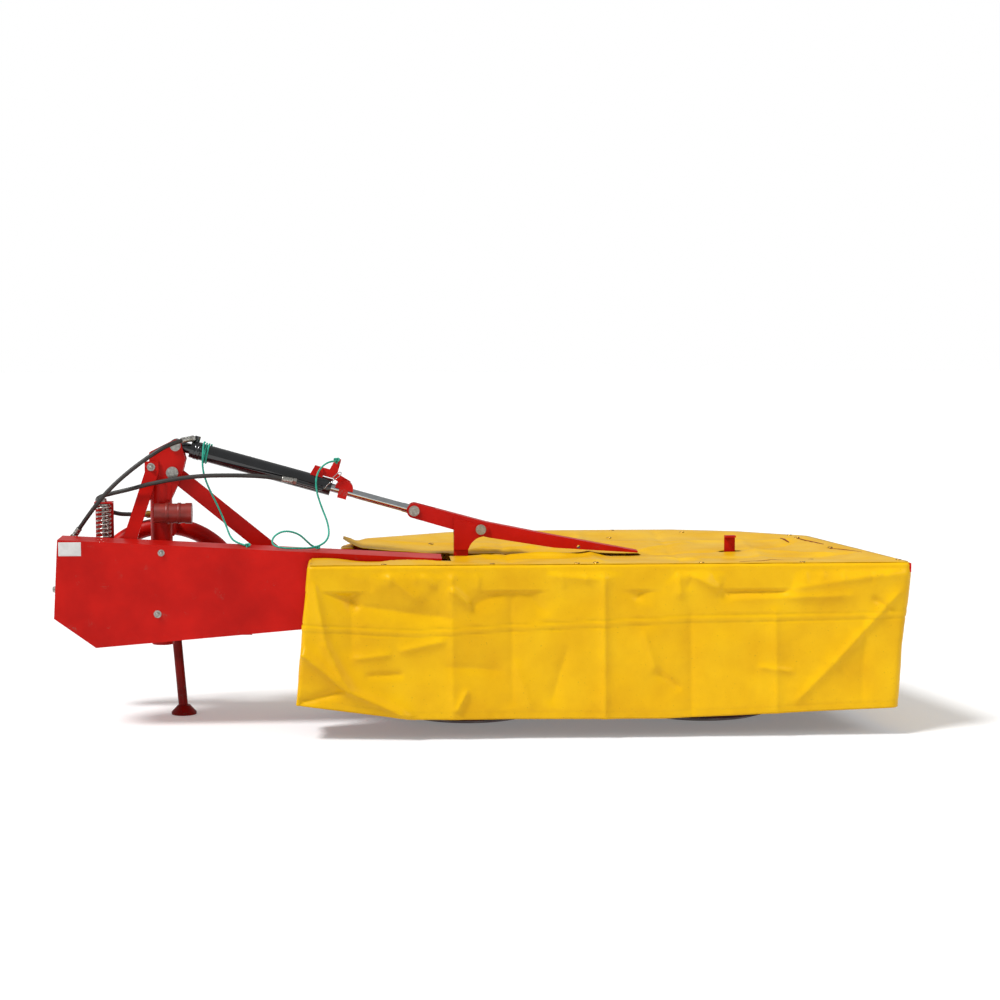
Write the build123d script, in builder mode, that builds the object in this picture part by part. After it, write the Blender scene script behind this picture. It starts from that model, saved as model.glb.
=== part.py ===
from build123d import *
from math import atan2, cos, degrees, hypot, radians, sin, tan
import os

os.makedirs("parts", exist_ok=True)

# Rear-mounted two-drum mower with a hydraulic lift for its cutting deck.
# Millimetres. X runs to the cutting side, Y forward to the tractor, Z up.
# The origin is on the ground, below the middle of the whole machine.

# Overall size
half_length = 1475.0
half_width = 525.0
weld_gap = 0.3
fit_gap = 0.05
overrun = 30.0

# Planes that the parts share
mechanism_y = -60.0
bow_y = 90.0
hitch_x = -1073.0

# Belt drive and the deck's lift hinge, whose axis is that of the driven pulley
hinge_x = -188.0
hinge_z = 483.0
drive_offset = -100.0
drive_x = hitch_x + drive_offset
drive_z = 465.0
drive_radius = 155.0
driven_radius = 77.5
belt_count = 4
belt_pitch = 19.0
belt_width = 16.0
belt_depth = 11.0
groove_half_angle = 17.0
pulley_lip = 6.0
pulley_rear_y = -272.0
shaft_radius = 17.4
journal_radius = 20.0
driven_shaft_radius = 20.0
shaft_hub_radius = 32.0
hub_length = 14.0
pto_stub_length = 108.0

# Belt guard, an open pan of folded sheet
guard_rear_y = -300.0
guard_depth = 140.0
guard_wall = 3.0
guard_end_gap = 8.5
guard_left_offset = -344.0
guard_left_x = hitch_x + guard_left_offset
guard_top_left_z = 656.0
guard_top_right_z = 584.0
guard_top_inset = 15.0
guard_left_low_z = 387.0
guard_corner_offset = -204.0
guard_corner_x = hitch_x + guard_corner_offset
guard_corner_z = 286.0
guard_low_right_z = 384.0
guard_stud_radius = 8.0
left_stud_offset = -216.0
left_stud_z = 588.0
middle_stud_offset = 102.0
middle_stud_z = 500.0
right_stud_offset = -203.0
right_stud_z = 490.0
guard_stud_places = [
    (hitch_x + left_stud_offset, left_stud_z),
    (hitch_x + middle_stud_offset, middle_stud_z),
    (hinge_x + right_stud_offset, right_stud_z),
]

# Carrying beam with the hinge sleeve
beam_left_offset = -43.0
beam_left_x = hitch_x + beam_left_offset
beam_width = 80.0
beam_height = 100.0
sleeve_radius = 55.0
sleeve_rear_overhang = 30.0
neck_radius = 40.0
neck_collar = 10.0
neck_collar_thickness = 9.0

# King post, mast and stays
post_radius = 38.0
post_top_z = 826.0
post_foot_z = 262.0
mast_gap = 40.0
mast_plate = 10.0
mast_pin_radius = 12.5
brace_pin_radius = 15.0
pin_head_height = 8.0
pin_head_over = 6.0
base_pin_offset = 54.0
base_pin_x = hitch_x + base_pin_offset
base_pin_z = 959.0
brace_pin_offset = 42.0
brace_pin_x = hitch_x + brace_pin_offset
brace_pin_z = 865.0
mast_left_offset = -37.0
mast_left_x = hitch_x + mast_left_offset
mast_left_z = 935.0
mast_right_offset = 88.0
mast_right_x = hitch_x + mast_right_offset
mast_nose_z = 910.0
mast_low_right_offset = 73.0
mast_low_right_x = hitch_x + mast_low_right_offset
mast_low_right_z = 850.0
mast_foot_offset = 36.0
mast_foot_x = hitch_x + mast_foot_offset
mast_foot_z = 770.0
mast_corner_radius = 16.0
brace_width = 55.0
brace_thickness = 12.0
brace_foot_x = -626.0
stay_width = 48.0
stay_thickness = 10.0
stay_top_offset = -28.0
stay_top_x = hitch_x + stay_top_offset
stay_top_z = 905.0
stay_bend_z = 868.0
stay_foot_offset = -114.0
stay_foot_x = hitch_x + stay_foot_offset
stay_foot_y = -151.0
stay_foot_z = 600.0

# Three-point hitch, category one
bow_radius = 265.0
bow_tube_radius = 30.0
bow_arch_z = 395.0
cross_tube = 60.0
cross_tube_top_z = 330.0
cross_tube_overhang = 38.0
cross_tube_edge = 6.0
link_pin_z = 435.0
link_pin_radius = 11.0
link_pin_length = 60.5
link_shoulder = 341.5
link_boss_radius = 24.0
top_link_z = 895.0
top_link_y = 42.0
top_link_bore = 9.75
ear_gap = 44.0
ear_thickness = 10.0
ear_radius = 30.0
ear_foot_height = 88.0
gusset_thickness = 10.0
gusset_low_z = 640.0
gusset_high_z = 688.0
lower_gusset_low_z = 276.0
lower_gusset_high_z = 324.0
stand_side_gap = 4.5

# Drive plate and input bearing housing
drive_plate = 12.0
drive_plate_left_offset = -228.0
drive_plate_left_x = hitch_x + drive_plate_left_offset
drive_plate_right_offset = 62.0
drive_plate_right_x = hitch_x + drive_plate_right_offset
drive_plate_low_z = 330.0
drive_plate_high_z = 626.0
drive_plate_corner = 62.0
housing_radius = 55.0
housing_flange_radius = 80.0
housing_flange = 10.0
housing_rear = 34.0
housing_front_y = 22.0
housing_nose_radius = 38.0
housing_nose_length = 26.0
stay_lug_height = 15.0
stay_lug_reach = 46.0

# Tension spring beside the guard
spring_offset = -192.0
spring_x = hitch_x + spring_offset
spring_y = -128.0
spring_low_z = 634.0
spring_high_z = 757.0
spring_radius = 22.5
spring_wire = 3.6
spring_turns = 8
spring_rod_radius = 6.0
spring_rod_top_z = 786.0
spring_rod_low_z = 604.0
spring_nut_radius = 11.0
spring_nut_height = 12.0
spring_washer_radius = 22.0
spring_washer = 4.0
spring_bracket_width = 62.0
spring_bracket = 6.0
spring_bracket_low_z = 560.0
spring_bracket_top_z = 768.0
spring_ledge = 6.0
spring_lip = 5.0
rest_reach = 112.0

# Hose couplers
coupler_offset = -295.2
coupler_x = hitch_x + coupler_offset
coupler_z = 647.7
coupler_direction = (64.6, -37.0, 92.5)
coupler_radius = 13.0
coupler_length = 40.0
coupler_play = 0.3
coupler_rest_thickness = 8.0
post_coupler_offset = -65.0
post_coupler_x = hitch_x + post_coupler_offset
post_coupler_y = 72.0
post_coupler_z = 704.0

# Document tube on the king post
tube_radius = 34.0
tube_left_offset = -16.0
tube_left_x = hitch_x + tube_left_offset
tube_right_offset = 112.0
tube_right_x = hitch_x + tube_right_offset
tube_z = 728.0
tube_cap = 22.0
tube_cap_over = 2.0
tube_saddle_width = 22.0
tube_standoff = 3.0

# Parking stand
stand_y = 2.0
stand_foot_offset = 64.0
stand_foot_x = hitch_x + stand_foot_offset
stand_tilt = 4.6
stand_radius = 16.5
stand_top_z = 630.0
stand_foot_radius = 44.0
stand_foot_height = 8.0
stand_foot_cone = 24.0
stand_cone_top_radius = 22.0
sleeve_side = 44.0
stand_sleeve_length = 92.0
stand_sleeve_gap = 0.5
stand_pin_radius = 5.0
stand_pin_length = 30.0

# Lift cylinder
eye_x = -193.0
eye_z = 727.0
base_eye_radius = 22.0
base_eye_width = 36.0
tube_start = 52.0
tube_end = 557.0
tube_outer_radius = 30.0
tube_inner_radius = 25.0
tube_bottom = 22.0
gland_length = 34.0
rod_radius = 15.0
rod_inner_start = 470.0
rod_collar_radius = 16.0
rod_collar_setback = 42.0
rod_eye_radius = 24.0
rod_eye_width = 31.0
piston_radius = 24.6
piston_length = 26.0
port_radius = 10.0
base_port_at = 66.0
base_port_height = 20.0
base_fitting_width = 22.0
base_fitting_depth = 18.0
rod_port_at = 516.0
rod_port_drop = 8.0
fitting_radius = 8.5
fitting_end_at = 424.0
port_reach = 22.0
port_end = 4.0

# Latch on the cylinder
latch_pivot_at = 497.0
latch_pivot_rise = 46.0
latch_arm_thickness = 12.0
latch_cheek = 6.0
latch_gap = 36.0
yoke_at = 602.0
yoke_rise = 6.0
yoke_radius = 32.0
yoke_bridge_rise = 22.0
latch_tip_at = 556.0
latch_tip_rise = 104.0
latch_tip_width = 20.0
latch_pivot_radius = 8.0
latch_boss_radius = 14.0
latch_lug_length = 46.0
latch_lug_thickness = 8.0
latch_swing_gap = 0.4

# Lift arm and its post
arm_bolt_x = 40.0
arm_bolt_z = 661.0
arm_width = 50.0
arm_fork_radius = 26.0
arm_slot = 33.0
arm_slot_length = 74.0
arm_top_bend_x = 60.0
arm_top_bend_z = 685.0
arm_mid_x = 264.0
arm_mid_z = 643.5
arm_tip_x = 593.0
arm_tip_top_z = 581.0
arm_tip_low_z = 575.0
arm_heel_x = -53.0
arm_heel_z = 659.0
arm_under_x = 70.0
arm_under_z = 631.0
arm_low_x = 299.0
arm_low_z = 594.0
arm_hole_x = 384.0
arm_hole_z = 597.0
arm_hole_radius = 6.0
arm_bolt_radius = 12.0
arm_pin_radius = 12.5
arm_post_left_x = -54.0
arm_post_side = 50.0
arm_post_top_z = 638.0
lug_thickness = 8.0
lug_top_z = 703.0
lug_right_x = 67.0
lug_right_top_z = 668.0
lug_right_low_z = 640.0
lug_low_z = 590.0
lug_notch_x = 37.0
lug_notch_z = 634.0
foot_plate = 8.0
foot_plate_left_x = -74.0
foot_plate_right_x = 41.0
foot_plate_reach = 40.0

# Gear case across the drums
drum_pitch = 830.0
drum_1_x = -3.0
case_half_width = 65.0
case_low_z = 410.0
case_high_z = 520.0
case_left_x = -106.0
case_right_x = 959.0
case_edge_radius = 14.0
transfer_left_x = -261.0
transfer_rear_y = -14.0
transfer_low_z = 426.0
transfer_high_z = 540.0
drum_neck_radius = 60.0

# Drums, knives and skid dishes
drum_top_z = 396.0
drum_flange_radius = 152.0
drum_flange = 12.0
drum_wall_radius = 138.0
drum_flare_z = 176.0
drum_base_z = 128.0
disc_radius = 350.0
disc_rim_z = 106.0
disc_thickness = 7.0
drum_under_radius = 60.0
drum_under_z = 98.0
rib_count = 4
rib_depth = 14.0
rib_width = 16.0
rib_low_z = 190.0
knife_count = 3
knife_tip_radius = 410.0
knife_width = 46.0
knife_thickness = 4.0
knife_length = 104.0
knife_corner = 12.0
dish_flat_radius = 228.0
dish_rim_radius = 318.0
dish_rim_z = 60.0
dish_thickness = 5.0
dish_hub_radius = 50.0
dish_gap = 0.3

# Curtain and the rails that carry it
curtain_top_z = 590.0
curtain_wall = 4.0
curtain_left_x = -553.0
curtain_sway_width = 41.0
curtain_low_z = 92.0
# Hem of the near side, left to right, as shares of its length, and heights
curtain_near_low = [(0.0, 122.0), (0.19, 72.0), (0.60, 68.0), (1.0, 99.0)]
# Corners of its far side, right to left, as shares of the half length and half width
curtain_far_shares = [
    (0.859, 0.552), (0.698, 0.857), (0.535, 1.0), (0.223, 1.0), (-0.042, 0.914), (-0.252, 0.543), (-0.306, 0.143),
]
slot_near_y = -312.0
slot_far_y = -10.0
slot_right_x = -71.0
arm_slot_side_gap = 12.0
arm_slot_end_gap = 14.0
rail_side = 30.0
rail_clearance = 3.4
cross_tube_places = [159.0, 459.0, 729.0]
deck_tube_width = 40.0
deck_tube_height = 36.0
hook_x = 922.0
hook_width = 38.0
hook_thickness = 6.0
hook_top_z = 632.0
hook_reach = 22.0

# Hoses and rope
hose_diameter = 15.0
rope_diameter = 7.0


def point(vector):
    """Plain coordinates of a vector."""
    return (vector.X, vector.Y, vector.Z)


def block(low, high, mode=Mode.ADD):
    """Add a box to the open part, from its lowest to its highest corner."""
    size = [h - l for l, h in zip(low, high)]
    middle = [(l + h) / 2 for l, h in zip(low, high)]
    with Locations(tuple(middle)):
        Box(*size, mode=mode)


def slab(points, low_y, high_y, mode=Mode.ADD):
    """Extrude an outline drawn in X and Z along Y."""
    with BuildSketch(Plane.XZ.offset(-high_y)) as face:
        with BuildLine():
            Polyline(*points, close=True)
        make_face()
    extrude(face.sketch, amount=high_y - low_y, mode=mode)


def round_bar(start, end, radius, mode=Mode.ADD):
    """Add a round bar between two points."""
    axis = Vector(*end) - Vector(*start)
    with BuildSketch(Plane(origin=start, z_dir=axis)) as section:
        Circle(radius)
    extrude(section.sketch, amount=axis.length, mode=mode)


def turned(origin, direction, points, mode=Mode.ADD):
    """Turn an outline of places along an axis and radii about that axis."""
    side = (1, 0, 0) if abs(direction[1]) > 0 else (0, -1, 0)
    plane = Plane(origin=origin, x_dir=direction, z_dir=side)
    with BuildSketch(plane) as face:
        with BuildLine():
            Polyline(*points, close=True)
        make_face()
    revolve(face.sketch, axis=Axis(origin, direction), mode=mode)


def bend_radii(points):
    """Give each corner of a cord the largest arc that its runs allow."""
    radii = []
    for before, corner, after in zip(points, points[1:], points[2:]):
        arriving = Vector(*corner) - Vector(*before)
        leaving = Vector(*after) - Vector(*corner)
        half_turn = radians(arriving.get_angle(leaving)) / 2
        radii.append(0.45 * min(arriving.length, leaving.length) / tan(half_turn))
    return radii


def cord(name, points, diameter):
    """Make the tube of a hose or rope along its route."""
    radii = bend_radii(points)
    with BuildPart() as tube:
        with BuildLine() as route:
            run = FilletPolyline(*points, radius=radii)
        with BuildSketch(Plane(origin=route.line @ 0, z_dir=route.line % 0)):
            Circle(diameter / 2)
        sweep(path=route.line)
    length = run.length
    share = tube.part.volume / (length * 3.14159265 * diameter * diameter / 4)
    print(name, "length", round(length), "volume share", round(share, 4))
    print(name, "bend radii over diameter", [round(radius / diameter, 1) for radius in radii])
    return tube.part


def save(part, name):
    """Label a finished piece and write its file."""
    part.label = name
    export_step(part, f"parts/{name}.step")


beam_low_z = hinge_z - beam_height / 2
beam_high_z = hinge_z + beam_height / 2
beam_rear_y = mechanism_y - beam_width / 2
beam_front_y = mechanism_y + beam_width / 2
mast_rear_y = mechanism_y - mast_gap / 2 - mast_plate
mast_front_y = mechanism_y + mast_gap / 2 + mast_plate
stand_lean = tan(radians(stand_tilt))


def stand_x_at(height):
    """Place of the leaning stand's centre line at a height."""
    return stand_foot_x - height * stand_lean


# Three-point hitch
with BuildPart() as hitch_bow:
    with BuildLine(Plane.XZ.offset(-bow_y)) as bow_path:
        Line((hitch_x - bow_radius, cross_tube_top_z), (hitch_x - bow_radius, bow_arch_z))
        CenterArc((hitch_x, bow_arch_z), bow_radius, 180, -180)
        Line((hitch_x + bow_radius, bow_arch_z), (hitch_x + bow_radius, cross_tube_top_z))
    with BuildSketch(Plane.XY.offset(cross_tube_top_z)):
        with Locations((hitch_x - bow_radius, bow_y)):
            Circle(bow_tube_radius)
    sweep(path=bow_path.line)
save(hitch_bow.part, "hitch_bow")

with BuildPart() as hitch_cross_tube:
    cross_half = bow_radius + cross_tube_overhang
    block(
        (hitch_x - cross_half, bow_y - cross_tube / 2, cross_tube_top_z - cross_tube),
        (hitch_x + cross_half, bow_y + cross_tube / 2, cross_tube_top_z),
    )
    fillet(hitch_cross_tube.edges().filter_by(Axis.X), cross_tube_edge)
save(hitch_cross_tube.part, "hitch_cross_tube")

with BuildPart() as link_pins:
    for side in (-1, 1):
        leg_x = hitch_x + side * bow_radius
        shoulder_x = hitch_x + side * link_shoulder
        tip_x = shoulder_x + side * link_pin_length
        round_bar((leg_x, bow_y, link_pin_z), (shoulder_x, bow_y, link_pin_z), link_boss_radius)
        round_bar((shoulder_x, bow_y, link_pin_z), (tip_x, bow_y, link_pin_z), link_pin_radius)
    chamfer(link_pins.edges().group_by(Axis.X)[0] + link_pins.edges().group_by(Axis.X)[-1], link_pin_radius / 4)
    for side in (-1, 1):
        with Locations((hitch_x + side * bow_radius, bow_y, link_pin_z)):
            Cylinder(bow_tube_radius, link_boss_radius * 3, mode=Mode.SUBTRACT)
            Box(link_boss_radius * 2, bow_tube_radius * 2, link_boss_radius * 3, mode=Mode.SUBTRACT,
                align=(Align.MAX if side > 0 else Align.MIN, Align.CENTER, Align.CENTER))
save(link_pins.part, "link_pins")

# King post, gussets, mast and stays
mast_outline = [
    (mast_left_x, mast_left_z),
    (base_pin_x, base_pin_z + base_eye_radius),
    (mast_right_x - mast_corner_radius, base_pin_z + mast_pin_radius),
    (mast_right_x, mast_nose_z),
    (mast_low_right_x, mast_low_right_z),
    (mast_foot_x, mast_foot_z),
    (mast_left_x, mast_foot_z),
]
mast_spans = [(mast_rear_y, mast_rear_y + mast_plate), (mast_front_y - mast_plate, mast_front_y)]

with BuildPart() as king_post:
    round_bar((hitch_x, mechanism_y, beam_high_z), (hitch_x, mechanism_y, post_top_z), post_radius)
    round_bar((hitch_x, mechanism_y, post_foot_z), (hitch_x, mechanism_y, beam_low_z), post_radius)
    for low_y, high_y in mast_spans:
        block((mast_left_x, low_y, mast_foot_z), (mast_foot_x, high_y, mast_nose_z), mode=Mode.SUBTRACT)
save(king_post.part, "king_post")

with BuildPart() as mast_plates:
    for low_y, high_y in mast_spans:
        slab(mast_outline, low_y, high_y)
    for x, z, radius in [
        (base_pin_x, base_pin_z, mast_pin_radius),
        (brace_pin_x, brace_pin_z, brace_pin_radius),
    ]:
        round_bar((x, mast_rear_y - overrun, z), (x, mast_front_y + overrun, z), radius, mode=Mode.SUBTRACT)
save(mast_plates.part, "mast_plates")

with BuildPart() as mast_pins:
    for x, z, radius, front_head in [
        (base_pin_x, base_pin_z, mast_pin_radius, pin_head_height),
        (brace_pin_x, brace_pin_z, brace_pin_radius, 0),
    ]:
        head = radius + pin_head_over
        round_bar((x, mast_rear_y, z), (x, mast_front_y, z), radius)
        round_bar((x, mast_rear_y - pin_head_height, z), (x, mast_rear_y, z), head)
        if front_head:
            round_bar((x, mast_front_y, z), (x, mast_front_y + front_head, z), head)
save(mast_pins.part, "mast_pins")

brace_drop = brace_pin_z - beam_high_z
brace_run = brace_foot_x - brace_pin_x
brace_angle = -degrees(atan2(brace_drop, brace_run))
with BuildPart() as mast_brace:
    with BuildSketch(Plane.XZ.offset(-(mechanism_y + brace_thickness / 2))):
        with Locations(Location((brace_pin_x, brace_pin_z), brace_angle)):
            Circle(brace_width / 2)
            Rectangle(hypot(brace_drop, brace_run) + brace_width, brace_width, align=(Align.MIN, Align.CENTER))
    extrude(amount=brace_thickness)
    split(bisect_by=Plane.XY.offset(beam_high_z), keep=Keep.TOP)
    round_bar(
        (brace_pin_x, mast_rear_y, brace_pin_z), (brace_pin_x, mast_front_y, brace_pin_z), brace_pin_radius,
        mode=Mode.SUBTRACT,
    )
save(mast_brace.part, "mast_brace")

# The stay hangs on the rear mast plate and leans back to the drive plate
stay_top_y = mast_rear_y - stay_thickness
with BuildPart() as mast_stay:
    block(
        (stay_top_x - stay_width / 2, stay_top_y, stay_bend_z),
        (stay_top_x + stay_width / 2, mast_rear_y, stay_top_z),
    )
    with BuildSketch(Plane.XY.offset(stay_bend_z)):
        with Locations((stay_top_x, (stay_top_y + mast_rear_y) / 2)):
            Rectangle(stay_width, stay_thickness)
    with BuildSketch(Plane.XY.offset(stay_foot_z)):
        with Locations((stay_foot_x, stay_foot_y)):
            Rectangle(stay_width, stay_thickness)
    loft()
save(mast_stay.part, "mast_stay")

with BuildPart() as top_link_ears:
    ear_half = ear_gap / 2
    for low_x in (hitch_x - ear_half - ear_thickness, hitch_x + ear_half):
        with BuildSketch(Plane.YZ.offset(low_x)) as ear:
            with BuildLine():
                Polyline(
                    (mast_front_y, top_link_z + ear_radius),
                    (top_link_y, top_link_z + ear_radius),
                    (top_link_y, top_link_z - ear_radius),
                    (mast_front_y, top_link_z + ear_radius - ear_foot_height),
                    close=True,
                )
            make_face()
            with Locations((top_link_y, top_link_z)):
                Circle(ear_radius)
                Circle(top_link_bore, mode=Mode.SUBTRACT)
        extrude(ear.sketch, amount=ear_thickness)
save(top_link_ears.part, "top_link_ears")

# Gussets tie the post to the bow above and to the cross tube below, past the stand
upper_middle_x = stand_x_at((gusset_low_z + gusset_high_z) / 2)
gusset_offset = stand_radius + stand_side_gap
lower_right_x = stand_x_at(lower_gusset_low_z) - gusset_offset - gusset_thickness
lower_left_x = hitch_x - post_radius + gusset_thickness / 2
with BuildPart() as post_gussets:
    for low_x in (upper_middle_x - gusset_offset - gusset_thickness, upper_middle_x + gusset_offset):
        block(
            (low_x, mechanism_y, gusset_low_z),
            (low_x + gusset_thickness, bow_y, gusset_high_z),
        )
    for low_x in (lower_left_x, lower_right_x):
        block(
            (low_x, mechanism_y, lower_gusset_low_z),
            (low_x + gusset_thickness, bow_y - cross_tube / 2, lower_gusset_high_z),
        )
    with Locations((hitch_x, mechanism_y, (post_foot_z + post_top_z) / 2)):
        Cylinder(post_radius, post_top_z - post_foot_z, mode=Mode.SUBTRACT)
    block(
        (hitch_x - bow_radius, mechanism_y - post_radius, post_foot_z),
        (hitch_x - post_radius / 2, mechanism_y, post_top_z),
        mode=Mode.SUBTRACT,
    )
    block(
        (hitch_x - post_radius, mechanism_y - post_radius, post_foot_z),
        (hitch_x + bow_radius, mechanism_y, post_top_z),
        mode=Mode.SUBTRACT,
    )
    add(hitch_bow.part, mode=Mode.SUBTRACT)
save(post_gussets.part, "post_gussets")

# Carrying beam with the sleeve of the deck's hinge
sleeve_rear_y = beam_rear_y - sleeve_rear_overhang
with BuildPart() as carrying_beam:
    block((beam_left_x, beam_rear_y, beam_low_z), (hinge_x, beam_front_y, beam_high_z))
    fillet(carrying_beam.edges().filter_by(Axis.X), pulley_lip)
    round_bar((hinge_x, sleeve_rear_y, hinge_z), (hinge_x, beam_front_y, hinge_z), sleeve_radius)
    round_bar(
        (hinge_x, sleeve_rear_y - overrun, hinge_z), (hinge_x, beam_front_y + overrun, hinge_z),
        neck_radius + fit_gap, mode=Mode.SUBTRACT,
    )
save(carrying_beam.part, "carrying_beam")

# Drive plate behind the beam, with the lug that takes the stay
plate_rear_y = beam_rear_y - drive_plate
with BuildPart() as drive_plate_part:
    slab(
        [
            (drive_plate_left_x, drive_plate_low_z + drive_plate_corner),
            (drive_plate_left_x + drive_plate_corner, drive_plate_low_z),
            (drive_plate_right_x, drive_plate_low_z),
            (drive_plate_right_x, drive_plate_high_z),
            (stay_foot_x + stay_width, drive_plate_high_z),
            (stay_foot_x - stay_width / 2, stay_foot_z),
            (drive_plate_left_x, stay_foot_z),
        ],
        plate_rear_y,
        beam_rear_y,
    )
    block(
        (stay_foot_x - stay_width / 2, plate_rear_y - stay_lug_reach, stay_foot_z - stay_lug_height),
        (stay_foot_x + stay_width / 2, plate_rear_y, stay_foot_z),
    )
    round_bar(
        (drive_x, plate_rear_y - overrun, drive_z), (drive_x, beam_rear_y + overrun, drive_z), housing_radius,
        mode=Mode.SUBTRACT,
    )
save(drive_plate_part.part, "drive_plate")

housing_rear_y = plate_rear_y - housing_rear
with BuildPart() as input_housing:
    turned(
        (drive_x, 0, drive_z),
        (0, 1, 0),
        [
            (housing_rear_y, journal_radius + fit_gap),
            (housing_rear_y, housing_radius),
            (plate_rear_y - housing_flange, housing_radius),
            (plate_rear_y - housing_flange, housing_flange_radius),
            (plate_rear_y, housing_flange_radius),
            (plate_rear_y, housing_radius),
            (housing_front_y, housing_radius),
            (housing_front_y, housing_nose_radius),
            (housing_front_y + housing_nose_length, housing_nose_radius),
            (housing_front_y + housing_nose_length, journal_radius + fit_gap),
        ],
    )
save(input_housing.part, "input_housing")

# Belt guard
guard_right_x = hinge_x + driven_radius + guard_end_gap
guard_front_y = guard_rear_y + guard_depth
with BuildPart() as belt_guard:
    slab(
        [
            (guard_left_x + guard_top_inset, guard_top_left_z),
            (guard_left_x, guard_left_low_z),
            (guard_corner_x, guard_corner_z),
            (guard_right_x, guard_low_right_z),
            (guard_right_x, guard_top_right_z),
        ],
        guard_rear_y,
        guard_front_y,
    )
    offset(amount=-guard_wall, openings=belt_guard.faces().sort_by(Axis.Y)[-1])
save(belt_guard.part, "belt_guard")

with BuildPart() as guard_studs:
    for index, (x, z) in enumerate(guard_stud_places):
        seat_y = plate_rear_y if index < 1 else beam_rear_y
        round_bar((x, guard_rear_y + guard_wall, z), (x, seat_y, z), guard_stud_radius)
save(guard_studs.part, "guard_studs")

# Pulleys with one groove for each belt, and the belts in them
pulley_width = belt_count * belt_pitch + pulley_lip


def groove_middles():
    """Middle of each groove along Y."""
    start = pulley_rear_y + (pulley_lip + belt_pitch) / 2
    return [start + index * belt_pitch for index in range(belt_count)]


def pulley_outline(radius, hub_end_y, bore_radius):
    """Half outline of a grooved pulley, as places along Y and radii."""
    front_y = pulley_rear_y + pulley_width
    floor_radius = radius - belt_depth - weld_gap
    points = [(pulley_rear_y, bore_radius), (pulley_rear_y, radius)]
    for middle in groove_middles():
        top_half = belt_width / 2 + weld_gap
        floor_half = top_half - belt_depth * tan(radians(groove_half_angle))
        points += [
            (middle - top_half, radius),
            (middle - floor_half, floor_radius),
            (middle + floor_half, floor_radius),
            (middle + top_half, radius),
        ]
    points += [
        (front_y, radius),
        (front_y, shaft_hub_radius),
        (hub_end_y, shaft_hub_radius),
        (hub_end_y, bore_radius),
    ]
    return points


pulley_hub_end_y = pulley_rear_y + pulley_width + hub_length
with BuildPart() as drive_pulley:
    turned((drive_x, 0, drive_z), (0, 1, 0), pulley_outline(drive_radius, pulley_hub_end_y, journal_radius))
save(drive_pulley.part, "drive_pulley")

with BuildPart() as pto_shaft:
    nose_y = housing_front_y + housing_nose_length
    round_bar((drive_x, pulley_rear_y, drive_z), (drive_x, nose_y, drive_z), journal_radius)
    round_bar((drive_x, nose_y, drive_z), (drive_x, nose_y + pto_stub_length, drive_z), shaft_radius)
    chamfer(pto_shaft.edges().group_by(Axis.Y)[-1], pulley_lip / 3)
save(pto_shaft.part, "pto_shaft")

neck_rear_y = sleeve_rear_y - neck_collar_thickness - stand_sleeve_gap
driven_hub_end_y = pulley_hub_end_y
driven_tip_y = beam_front_y
with BuildPart() as driven_pulley:
    turned(
        (hinge_x, 0, hinge_z), (0, 1, 0), pulley_outline(driven_radius, driven_hub_end_y, driven_shaft_radius),
    )
    round_bar((hinge_x, pulley_rear_y, hinge_z), (hinge_x, driven_tip_y, hinge_z), driven_shaft_radius)
save(driven_pulley.part, "driven_pulley")


def belt_loop(middle_offset, inset):
    """Outline of a belt loop round both pulleys, at a depth below their rims."""
    with BuildSketch(Plane.XZ.offset(-middle_offset)) as loop:
        with Locations((drive_x, drive_z)):
            Circle(drive_radius - inset)
        with Locations((hinge_x, hinge_z)):
            Circle(driven_radius - inset)
        make_hull()
    return loop.sketch.face()


belt_half = belt_width / 2
belt_floor_half = belt_half - belt_depth * tan(radians(groove_half_angle))
with BuildPart() as v_belts:
    for middle in groove_middles():
        extrude(belt_loop(middle + belt_half, 0), amount=belt_width)
        for rear_half, front_half, rear_inset, front_inset in [
            (-belt_half, -belt_floor_half, 0, belt_depth),
            (-belt_floor_half, belt_floor_half, belt_depth, belt_depth),
            (belt_floor_half, belt_half, belt_depth, 0),
        ]:
            rear = belt_loop(middle + rear_half, rear_inset)
            front = belt_loop(middle + front_half, front_inset)
            loft([rear, front], ruled=True, mode=Mode.SUBTRACT)
save(v_belts.part, "v_belts")

# Ends of the leaning coupler beside the spring
coupler_lean = Vector(*coupler_direction).normalized()
guard_coupler_top = (coupler_x, spring_y, coupler_z)
guard_coupler_low = point(Vector(*guard_coupler_top) - coupler_lean * coupler_length * 3 / 2)

# Tension spring, its bracket and its rod
bracket_rear_y = beam_rear_y
with BuildPart() as spring_bracket_part:
    low_x = spring_x - spring_bracket_width / 2
    high_x = spring_x + spring_bracket_width / 2
    ledge_rear_y = spring_y - spring_radius - spring_wire
    block(
        (low_x, bracket_rear_y, spring_bracket_low_z),
        (high_x, bracket_rear_y + spring_bracket, spring_bracket_top_z),
    )
    block(
        (low_x - rest_reach, ledge_rear_y, spring_low_z - spring_ledge),
        (high_x, bracket_rear_y, spring_low_z),
    )
    round_bar(guard_coupler_low, guard_coupler_top, coupler_radius + coupler_play, mode=Mode.SUBTRACT)
    block(
        (low_x, spring_y - spring_nut_radius, spring_bracket_top_z - spring_lip),
        (high_x, bracket_rear_y, spring_bracket_top_z),
    )
    round_bar(
        (spring_x, spring_y, spring_low_z - overrun), (spring_x, spring_y, spring_bracket_top_z + overrun),
        spring_rod_radius, mode=Mode.SUBTRACT,
    )
save(spring_bracket_part.part, "spring_bracket")

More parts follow.
